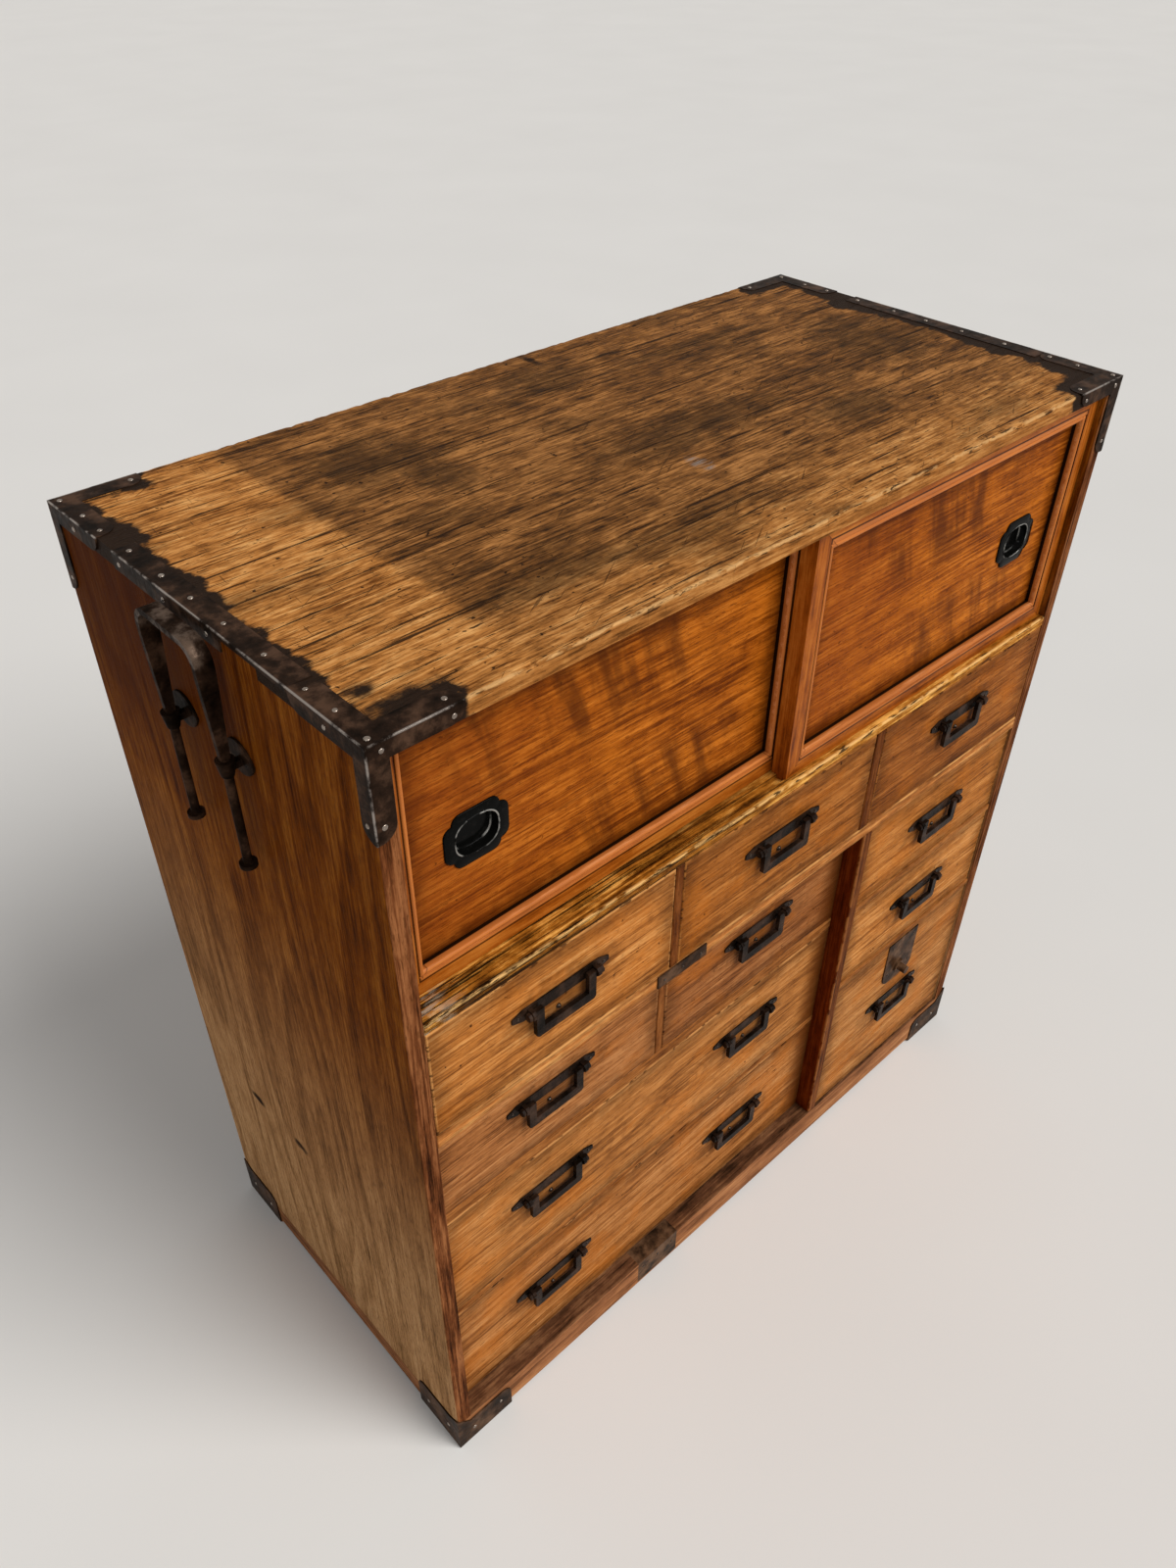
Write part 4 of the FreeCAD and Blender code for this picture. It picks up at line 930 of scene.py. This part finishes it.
# Plain boards: node, material, way of the grain, seed, wood, axes of the dirty edges, and share of cracks
PLAIN_BOARDS = (
    ("row_one_shelf", "rail_wax", "x", 201, RAIL_WOOD, "z", 0.4),
    ("row_one_dividers", "upper_upright_wax", "z", 221, DARK_WOOD, "z", 0.4),
    ("row_two_divider", "lower_upright_wax", "z", 231, UPRIGHT_WOOD, "z", 0.4),
    ("left_dust_boards", "left_rail_wax", "x", 241, DUST_BOARD_WOOD, "x", 0.4),
    ("right_dust_boards", "right_rail_wax", "x", 251, DUST_BOARD_WOOD, "x", 0.4),
    ("bottom_board", "bare_bottom", "x", 271, BARE_WOOD, "xy", 0.5),
)


def dress(node, material):
    """Gives a node its one material."""
    piece = frame["nodes"][node]
    piece.data.materials.clear()
    piece.data.materials.append(material)


def dress_wood():
    """Finishes of the drawers, the case and the doors."""
    for number, (drawer, wood) in enumerate(DRAWER_WOOD.items()):
        dress("drawer_" + drawer, drawer_finish(drawer, 100 + 9 * number, wood))
    for board in PLAIN_BOARDS:
        dress(board[0], plain_wood(*board))
    dress("top_board", top_finish())
    dress("door_shelf", shelf_finish())
    dress("main_divider", divider_finish())
    dress("base_frame", base_finish())
    for hand, side_seed, door_seed in (("left", 3, 301), ("right", 7, 331)):
        dress(hand + "_side", side_finish(hand, side_seed))
        dress(hand + "_door_panel", panel_finish(hand, door_seed))
        dress(hand + "_door_frame", door_frame_finish(hand, door_seed + 9))


def dress_iron():
    """Finishes of the handles, pulls, lock and bindings."""
    for hand, seed in (("left", 341), ("right", 371)):
        dress("carrying_handle_" + hand, handle_finish(hand, seed))
        dress("eye_bolts_" + hand, iron_finish(hand + "_eye_iron", seed + 5, 0.32, 0.005, BLACK_IRON))
    pull_iron = iron_finish("pull_iron", 411, 0.26, 0.03, PULL_IRON)
    for drawer in DRAWER_WOOD:
        dress("pull_plate_" + drawer, pull_iron)
    for pull in PIVOTS:
        dress("bail_" + pull, pull_iron)
    lock_iron = iron_finish("lock_iron", 413, 0.34, 0.03, LOCK_IRON)
    for node in ("lock_plate", "lock_knob"):
        dress(node, lock_iron)
    dress("top_irons", binding_finish())
    dress("foot_irons", iron_finish("low_iron", 415, 0.40, 0.03, LOW_IRON))
    dress("panel_keepers", iron_finish("keeper_iron", 417, 0.40, 0.03, LOW_IRON, 0.7))


def soften(piece, width, segments=2):
    """Joins the loose triangles of a piece and rounds its sharp edges."""
    weld = piece.modifiers.new("joined", "WELD")
    weld.merge_threshold = MERGE
    bevel = piece.modifiers.new("rounded", "BEVEL")
    bevel.width = width
    bevel.segments = segments
    bevel.limit_method = "ANGLE"
    bevel.angle_limit = SHARP_ANGLE
    bevel.harden_normals = True


def soften_iron():
    """Rounds the edges of the iron that stays as it is in the frame."""
    nodes = frame["nodes"]
    for pull in PIVOTS:
        soften(nodes["bail_" + pull], BAIL_ROUND)
    for drawer in DRAWER_WOOD:
        soften(nodes["pull_plate_" + drawer], SHEET_ROUND)
    for hand in HANDS:
        soften(nodes["carrying_handle_" + hand], HANDLE_ROUND)
        soften(nodes["eye_bolts_" + hand], SHEET_ROUND)
    soften(nodes["lock_knob"], KNOB_ROUND, 3)
    soften(nodes["lock_plate"], SHEET_ROUND)


dress_wood()
dress_iron()
soften_iron()


# New pieces

def add_object(name, data):
    """Puts a mesh, a lamp or a camera into the scene."""
    thing = bpy.data.objects.new(name, data)
    bpy.context.scene.collection.objects.link(thing)
    return thing


def mesh_of(name, bm):
    """Ends a bmesh as a mesh."""
    mesh = bpy.data.meshes.new(name)
    bm.to_mesh(mesh)
    bm.free()
    return mesh


def add_piece(name, bm, body, material):
    """Makes a finished piece of a bmesh and lets it ride on a body."""
    mesh = mesh_of(name, bm)
    mesh.materials.append(material)
    piece = add_object(name, mesh)
    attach(piece, body)
    return piece


def merged_copy(node):
    """A node's mesh with its triangles joined."""
    bm = bmesh.new()
    bm.from_mesh(frame["nodes"][node].data)
    bmesh.ops.remove_doubles(bm, verts=bm.verts, dist=MERGE)
    return bm


def stand_in(name, bm, node):
    """A piece of the case that takes the place and the material of a node."""
    piece = add_piece(name, bm, CASE_BODY, frame["nodes"][node].data.materials[0])
    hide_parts(node)
    return piece


# Nails and studs

chance = random.Random(8)
UP = Vector((0, 0, 1))
FORWARD = Vector((0, -1, 0))
BACKWARD = Vector((0, 1, 0))
NAIL_PROFILE = ((0, 1), (0.5, 0.88), (0.85, 0.5), (1, 0.05), (1, -0.4), (0, -0.4))
NAIL_SIDES = 10
NAIL_LEAN = 0.1
NAIL_UNEVEN = (0.88, 1.12)
# Radius and rise of each kind of head
NAIL = (2.1 * MM, 0.8 * MM)
SMALL_NAIL = (1.6 * MM, 0.8 * MM)
STUD = (2.3 * MM, 2.7 * MM)

# Nail places in millimetres: from a corner along each edge, or from a corner and below the top
CORNER_TOP_NAILS = ((7, 7), (63, 9), (9, 42), (8, 72))
CORNER_FRONT_NAILS = ((11, 7), (63, 8), (7, 62))
CORNER_SIDE_NAILS = ((42, 8), (8, 62))
EDGE_TOP_NAILS = (-82, -33, 10, 50, 97)
EDGE_SIDE_NAILS = (-25, 33, 97)
FOOT_FRONT_NAILS = ((20, 20), (55, 24))
FOOT_SIDE_NAILS = ((18, 26), (52, 22))

# Nail places in metres, from the edges of a plate or board, or from a pull's pivot
EDGE_NAIL_DOWN = 7 * MM
KEEPER_NAIL_IN = 8 * MM
KEEPER_NAIL_UP = 7 * MM
SILL_NAIL_UP = 34 * MM
PULL_NAIL_OUT = 45 * MM
STUD_LEFT = 3 * MM
STUD_DOWN = 17.5 * MM
LOCK_NAIL_IN = 8 * MM
LOCK_NAIL_DOWN = 9 * MM
LOCK_NAIL_UP = 17 * MM
BACK_NAIL_IN = 7 * MM
BACK_NAIL_SHARES = (0.25, 0.75)


def nail_head():
    """Domed head turned from its profile, one unit in radius and height."""
    bm = bmesh.new()
    points = [bm.verts.new((radius, 0, height)) for radius, height in NAIL_PROFILE]
    edges = [bm.edges.new(pair) for pair in zip(points, points[1:])]
    bmesh.ops.spin(bm, geom=points + edges, cent=(0, 0, 0), axis=UP, angle=2 * math.pi, steps=NAIL_SIDES,
                   use_merge=True)
    bmesh.ops.remove_doubles(bm, verts=bm.verts, dist=0.0001)
    bmesh.ops.recalc_face_normals(bm, faces=bm.faces)
    for face in bm.faces:
        face.smooth = True
    return mesh_of("nail_head", bm)


def drive_nails(name, body, material, driven):
    """One piece of uneven nail heads; each head has a place, a way out, and a radius and rise."""
    bm = bmesh.new()
    for place, out, (radius, rise) in driven:
        before = len(bm.verts)
        bm.from_mesh(NAIL_HEAD)
        bm.verts.ensure_lookup_table()
        turn = out.to_track_quat("Z", "Y").to_matrix().to_4x4()
        lean = Matrix.Rotation(chance.uniform(-NAIL_LEAN, NAIL_LEAN), 4, "X")
        size = radius * chance.uniform(*NAIL_UNEVEN)
        shape = Matrix.Diagonal((size, size, rise, 1))
        matrix = Matrix.Translation(place) @ turn @ lean @ shape
        bmesh.ops.transform(bm, matrix=matrix, verts=bm.verts[before:])
    add_piece(name, bm, body, material)


def heads(places, out, kind):
    """Heads of one kind that face one way."""
    return [(Vector(place), out, kind) for place in places]


def corner_heads(side, end):
    """Nails of one top corner iron and the foot iron under it."""
    x = side * (CASE_HALF + IRON_SHEET)
    y = CASE_FRONT - IRON_SHEET if end < 0 else CASE_BACK + IRON_SEEN
    z = TOP_FACE + IRON_SEEN
    sideways = Vector((side, 0, 0))
    endways = Vector((0, end, 0))
    on_top = [(x - side * across * MM, y - end * back * MM, z) for across, back in CORNER_TOP_NAILS]
    in_front = [(x - side * across * MM, y, z - down * MM) for across, down in CORNER_FRONT_NAILS]
    beside = [(x, y - end * back * MM, z - down * MM) for back, down in CORNER_SIDE_NAILS]
    foot_front = [(x - side * across * MM, y, up * MM) for across, up in FOOT_FRONT_NAILS]
    foot_side = [(x, y - end * back * MM, up * MM) for back, up in FOOT_SIDE_NAILS]
    corner = heads(on_top, UP, NAIL) + heads(in_front, endways, NAIL) + heads(beside, sideways, NAIL)
    return corner + heads(foot_front, endways, NAIL) + heads(foot_side, sideways, NAIL)


def edge_heads(side):
    """Nails of the plates along one top edge."""
    x = side * (CASE_HALF + IRON_SHEET)
    middle = x - side * TOP_IRON_WIDE / 2
    on_top = [(middle, y * MM, TOP_FACE + IRON_SEEN) for y in EDGE_TOP_NAILS]
    beside = [(x, y * MM, TOP_FACE - EDGE_NAIL_DOWN) for y in EDGE_SIDE_NAILS]
    return heads(on_top, UP, NAIL) + heads(beside, Vector((side, 0, 0)), NAIL)


def keeper_heads():
    """Nails of the keeper on the rail and of the sill plate."""
    low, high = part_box("panel_keepers")
    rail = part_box("row_one_shelf")[0].z + KEEPER_NAIL_UP
    places = []
    for x in (low.x + KEEPER_NAIL_IN, (low.x + high.x) / 2, high.x - KEEPER_NAIL_IN):
        places += [(x, low.y, rail), (x, CASE_FRONT, SILL_NAIL_UP)]
    return heads(places, FORWARD, SMALL_NAIL)


def pull_heads(pivot):
    """Nails of one pull's plate and the stud that its bail rests on."""
    face = pivot.y + PIVOT_OUT
    ends = [(pivot.x + side * PULL_NAIL_OUT, face - PULL_PLATE, pivot.z) for side in (-1, 1)]
    rest = (pivot.x - STUD_LEFT, face, pivot.z - STUD_DOWN)
    return heads(ends, FORWARD, SMALL_NAIL) + heads([rest], FORWARD, STUD)


def lock_heads():
    """Nails at the corners of the lock plate."""
    low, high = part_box("lock_plate")
    places = []
    for x in (low.x + LOCK_NAIL_IN, high.x - LOCK_NAIL_IN):
        places += [(x, low.y, high.z - LOCK_NAIL_DOWN), (x, low.y, low.z + LOCK_NAIL_UP)]
    return heads(places, FORWARD, SMALL_NAIL)


def back_heads():
    """Nails at the ends of the back boards."""
    low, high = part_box("back_boards")
    tall = (high.z - low.z) / BACK_BOARDS
    places = []
    for row in range(BACK_BOARDS):
        for share in BACK_NAIL_SHARES:
            z = low.z + tall * (row + share)
            places += [(low.x + BACK_NAIL_IN, high.y, z), (high.x - BACK_NAIL_IN, high.y, z)]
    return heads(places, BACKWARD, SMALL_NAIL)


NAIL_HEAD = nail_head()
# Binding nails: polished heads that also carry a painted glint
bright_nail = nail_finish("bright_nail_iron", BRIGHT_NAIL)
dark_nail = nail_finish("dark_nail_iron", DARK_NAIL)
for hand, side in zip(HANDS, (-1, 1)):
    drive_nails(hand + "_binding_nails", CASE_BODY, bright_nail,
                corner_heads(side, -1) + corner_heads(side, 1) + edge_heads(side))
drive_nails("keeper_nails", CASE_BODY, dark_nail, keeper_heads())
for drawer in DRAWER_WOOD:
    drive_nails(drawer + "_pull_nails", drawer + "_drawer", dark_nail,
                [head for pivot in pulls_of(drawer) for head in pull_heads(pivot)])
drive_nails("lock_nails", "right_lower_drawer", dark_nail, lock_heads())


# Nailed irons

def nailed_irons(node):
    """Copy of some irons, beaten thin on top and behind."""
    bm = merged_copy(node)
    for vert in bm.verts:
        vert.co.y = min(vert.co.y, CASE_BACK + IRON_SEEN)
        vert.co.z = min(vert.co.z, TOP_FACE + IRON_SEEN)
    soften(stand_in("nailed_" + node, bm, node), SHEET_ROUND)


for node in ("top_irons", "foot_irons"):
    nailed_irons(node)


# Finger cups

CUP_LOBE = 7.5 * MM
CUP_LOBE_STEPS = 5
# How square the well is: 2 would be an ellipse
CUP_SQUARE = 2.5
# Rings from the back of the cup and out round its flange, then from its rim in to its floor: half width,
# half height, and how far each stands in front of the panel, in millimetres; below zero, the last number is
# a share of the cup's depth behind it
CUP_FLANGE_RINGS = (
    (20.0, 16.8, -1.0), (20.0, 16.8, 0.0), (28.5, 24.0, 0.0), (28.5, 24.0, 0.8), (28.3, 23.8, 1.2),
    (27.8, 23.3, 1.4),
)
CUP_WELL_RINGS = (
    (20.2, 17.0, 1.4), (20.0, 16.8, 1.7), (19.7, 16.5, 1.9), (19.2, 16.0, 1.9), (18.8, 15.6, 1.6),
    (18.6, 15.4, 1.0), (18.0, 14.8, -0.78), (17.4, 14.2, -0.86), (16.2, 13.0, -0.88),
)


def cup_outline(bm, wide, high, lobe):
    """Rectangle whose corners are two lobes each, drawn about the origin as one closed loop."""
    side = bm.verts.new((wide, 0, 0))
    last = bm.verts.new((wide, 0, high - 2 * lobe))
    bm.edges.new((side, last))
    for centre in ((wide - lobe, 0, high - 2 * lobe), (wide - 2 * lobe, 0, high - lobe)):
        turned = bmesh.ops.spin(bm, geom=[last], cent=centre, axis=BACKWARD, angle=-math.pi / 2,
                                steps=CUP_LOBE_STEPS)
        last = turned["geom_last"][0]
    bm.edges.new((last, bm.verts.new((0, 0, high))))
    for axis in "XZ":
        geom = bm.verts[:] + bm.edges[:]
        bmesh.ops.mirror(bm, geom=geom, matrix=Matrix.Identity(4), merge_dist=MERGE, axis=axis)
    return bm.edges[:]


def grow_cup(bm, wide, tall, depth):
    """Extrudes a cup ring by ring from its outline, and closes its back and its floor."""
    ring = cup_outline(bm, wide, tall, CUP_LOBE)
    size = (wide, tall)
    out = 0.0
    rings = []
    for half_wide, half_high, forward in CUP_FLANGE_RINGS + CUP_WELL_RINGS:
        goal = forward * MM if forward >= 0 else forward * depth
        if rings:
            grown = bmesh.ops.extrude_edge_only(bm, edges=ring)["geom"]
            ring = [part for part in grown if isinstance(part, bmesh.types.BMEdge)]
        verts = list({vert for edge in ring for vert in edge.verts})
        bmesh.ops.scale(bm, vec=(half_wide * MM / size[0], 1, half_high * MM / size[1]), verts=verts)
        bmesh.ops.translate(bm, vec=(0, out - goal, 0), verts=verts)
        size = (half_wide * MM, half_high * MM)
        if len(rings) >= len(CUP_FLANGE_RINGS):
            round_off(verts, size)
        out = goal
        rings.append(ring)
    for end in (rings[0], rings[-1]):
        bmesh.ops.contextual_create(bm, geom=end)


def round_off(verts, size):
    """Draws a ring out to a smooth oblong of two half sizes."""
    for vert in verts:
        across = abs(vert.co.x / size[0]) ** CUP_SQUARE
        up = abs(vert.co.z / size[1]) ** CUP_SQUARE
        reach = (across + up) ** (-1 / CUP_SQUARE)
        vert.co.x *= reach
        vert.co.z *= reach


def shade_smooth(bm, sharp):
    """Smooth faces, with the edges from an angle up left sharp."""
    for face in bm.faces:
        face.smooth = True
    for edge in bm.edges:
        edge.smooth = edge.calc_face_angle(0) < sharp


def make_cup(hand):
    """Finger cup with a flange, a raised rim, walls and a floor."""
    low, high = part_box(hand + "_door_pull")
    face = low.y + CUP_FLANGE
    middle = (low + high) / 2
    bm = bmesh.new()
    grow_cup(bm, (high.x - low.x) / 2, (high.z - low.z) / 2, high.y - face)
    bmesh.ops.translate(bm, vec=(middle.x, face, middle.z), verts=bm.verts)
    bmesh.ops.recalc_face_normals(bm, faces=bm.faces)
    shade_smooth(bm, CUP_SHARP_ANGLE)
    piece = add_piece(hand + "_finger_cup", bm, hand + "_door", lacquer_finish(hand))
    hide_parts(hand + "_door_pull")


for hand in HANDS:
    make_cup(hand)


# Worn boards

def slice_board(bm, place, normal):
    """Cuts all faces along a plane."""
    geom = bm.verts[:] + bm.edges[:] + bm.faces[:]
    bmesh.ops.bisect_plane(bm, geom=geom, dist=0.001 * MM, plane_co=place, plane_no=normal)


def worn_board(node, arrises):
    """Copy of a board with chipped long edges; each arris gives its y, its z, the way in, and its wear."""
    bm = merged_copy(node)
    bmesh.ops.dissolve_limit(bm, angle_limit=math.radians(1), verts=bm.verts, edges=bm.edges)
    low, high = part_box(node)
    for y, z, (in_y, in_z), _ in arrises:
        slice_board(bm, (0, y + in_y * CHIP_INSET, 0), (0, 1, 0))
        slice_board(bm, (0, 0, z + in_z * CHIP_INSET), (0, 0, 1))
    for step in range(1, int((high.x - low.x) / CHIP_STEP)):
        slice_board(bm, (low.x + step * CHIP_STEP, 0, 0), (1, 0, 0))
    for y, z, (in_y, in_z), wear in arrises:
        for vert in bm.verts:
            if abs(vert.co.y - y) < ON_ARRIS and abs(vert.co.z - z) < ON_ARRIS:
                vert.co.y += in_y * wear * chance.random() ** CHIP_IN_RARE
                vert.co.z += in_z * wear * chance.random() ** CHIP_DOWN_RARE
    stand_in("worn_" + node, bm, node)


shelf_low, shelf_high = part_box("door_shelf")
worn_board("top_board", (
    (CASE_FRONT, TOP_FACE, (1, -1), 2.0 * MM),
    (CASE_BACK, TOP_FACE, (-1, -1), 0.8 * MM),
))
worn_board("door_shelf", (
    (shelf_low.y, shelf_high.z, (1, -1), 2.6 * MM),
    (shelf_low.y, shelf_low.z, (1, 1), 1.2 * MM),
))


# Back boards

def make_back_boards():
    """Boards with eased edges, one above the other."""
    low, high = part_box("back_boards")
    tall = (high.z - low.z) / BACK_BOARDS
    bm = bmesh.new()
    for row in range(BACK_BOARDS):
        middle = Vector(((low.x + high.x) / 2, (low.y + high.y) / 2, low.z + tall * (row + 0.5)))
        size = Matrix.Diagonal((high.x - low.x, high.y - low.y, tall - BACK_BOARD_GAP, 1))
        bmesh.ops.create_cube(bm, size=1, matrix=Matrix.Translation(middle) @ size)
    bmesh.ops.bevel(bm, geom=bm.edges[:], offset=BACK_BOARD_EASE, offset_type="OFFSET", affect="EDGES",
                    segments=2, profile=0.5, material=-1)
    piece = add_piece("back_board_rows", bm, CASE_BODY, back_finish())
    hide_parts("back_boards")


make_back_boards()
drive_nails("back_nails", CASE_BODY, dark_nail, back_heads())


# Studio

def pale_floor():
    """Plain pale floor, hardly clouded."""
    bm = bmesh.new()
    bmesh.ops.create_grid(bm, x_segments=1, y_segments=1, size=FLOOR_HALF)
    mesh = mesh_of("pale_floor", bm)
    finish = Finish("pale_floor")
    finish.colour = finish.mix(finish.noise(2, 5, detail=2), FLOOR_DARK, FLOOR_LIGHT)
    mesh.materials.append(finish.done(0.7))
    add_object("pale_floor", mesh)


def hang_lamp(name, kind, towards, settings):
    """Lamp that shines along a direction."""
    lamp = bpy.data.lights.new(name, kind)
    for setting, value in settings.items():
        setattr(lamp, setting, value)
    holder = add_object(name, lamp)
    holder.rotation_euler = towards.to_track_quat("-Z", "Y").to_euler()
    return holder


def studio_lamps():
    """Even key light with soft shadows, and a small lamp at the left."""
    hang_lamp("key_light", "SUN", KEY_TOWARDS, {"energy": KEY_STRENGTH, "angle": KEY_SPREAD})
    left_lamp = hang_lamp("left_light", "AREA", LEFT_LAMP_TARGET - LEFT_LAMP_PLACE,
                          {"energy": LEFT_LAMP_WATTS, "size": LEFT_LAMP_SIZE})
    left_lamp.location = LEFT_LAMP_PLACE


def studio_world():
    """Even light on the object, and a pale backdrop where the camera and reflections look past it."""
    world = bpy.data.worlds.new("studio")
    nodes = Nodes(world)
    light = nodes.tree.nodes["Background"]
    nodes.feed(light.inputs["Color"], WORLD_LIGHT)
    nodes.feed(light.inputs["Strength"], WORLD_STRENGTH)
    backdrop = nodes.add("ShaderNodeBackground", {}, {"Color": BACKDROP})
    rays = nodes.add("ShaderNodeLightPath", {}, {}).outputs
    seen = Value(nodes, rays["Is Camera Ray"])
    for kind in ("Is Glossy Ray", "Is Transmission Ray"):
        seen = seen.most(rays[kind])
    shaders = {0: seen, 1: light.outputs[0], 2: backdrop.outputs[0]}
    choice = nodes.add("ShaderNodeMixShader", {}, shaders)
    nodes.feed(nodes.tree.nodes["World Output"].inputs["Surface"], choice.outputs[0])
    bpy.context.scene.world = world


def set_camera():
    """The photograph's own view."""
    lens = bpy.data.cameras.new("photo_view")
    lens.sensor_fit = "VERTICAL"
    lens.sensor_height = CAMERA_SENSOR
    lens.lens = CAMERA_LENS
    view = add_object("photo_view", lens)
    right = CAMERA_FORWARD.cross(CAMERA_UP)
    turn = Matrix((right, CAMERA_UP, -CAMERA_FORWARD)).transposed()
    view.matrix_world = Matrix.Translation(CAMERA_PLACE) @ turn.to_4x4()
    bpy.context.scene.camera = view


pale_floor()
studio_world()
studio_lamps()
set_camera()
bpy.context.scene.view_settings.view_transform = "Standard"
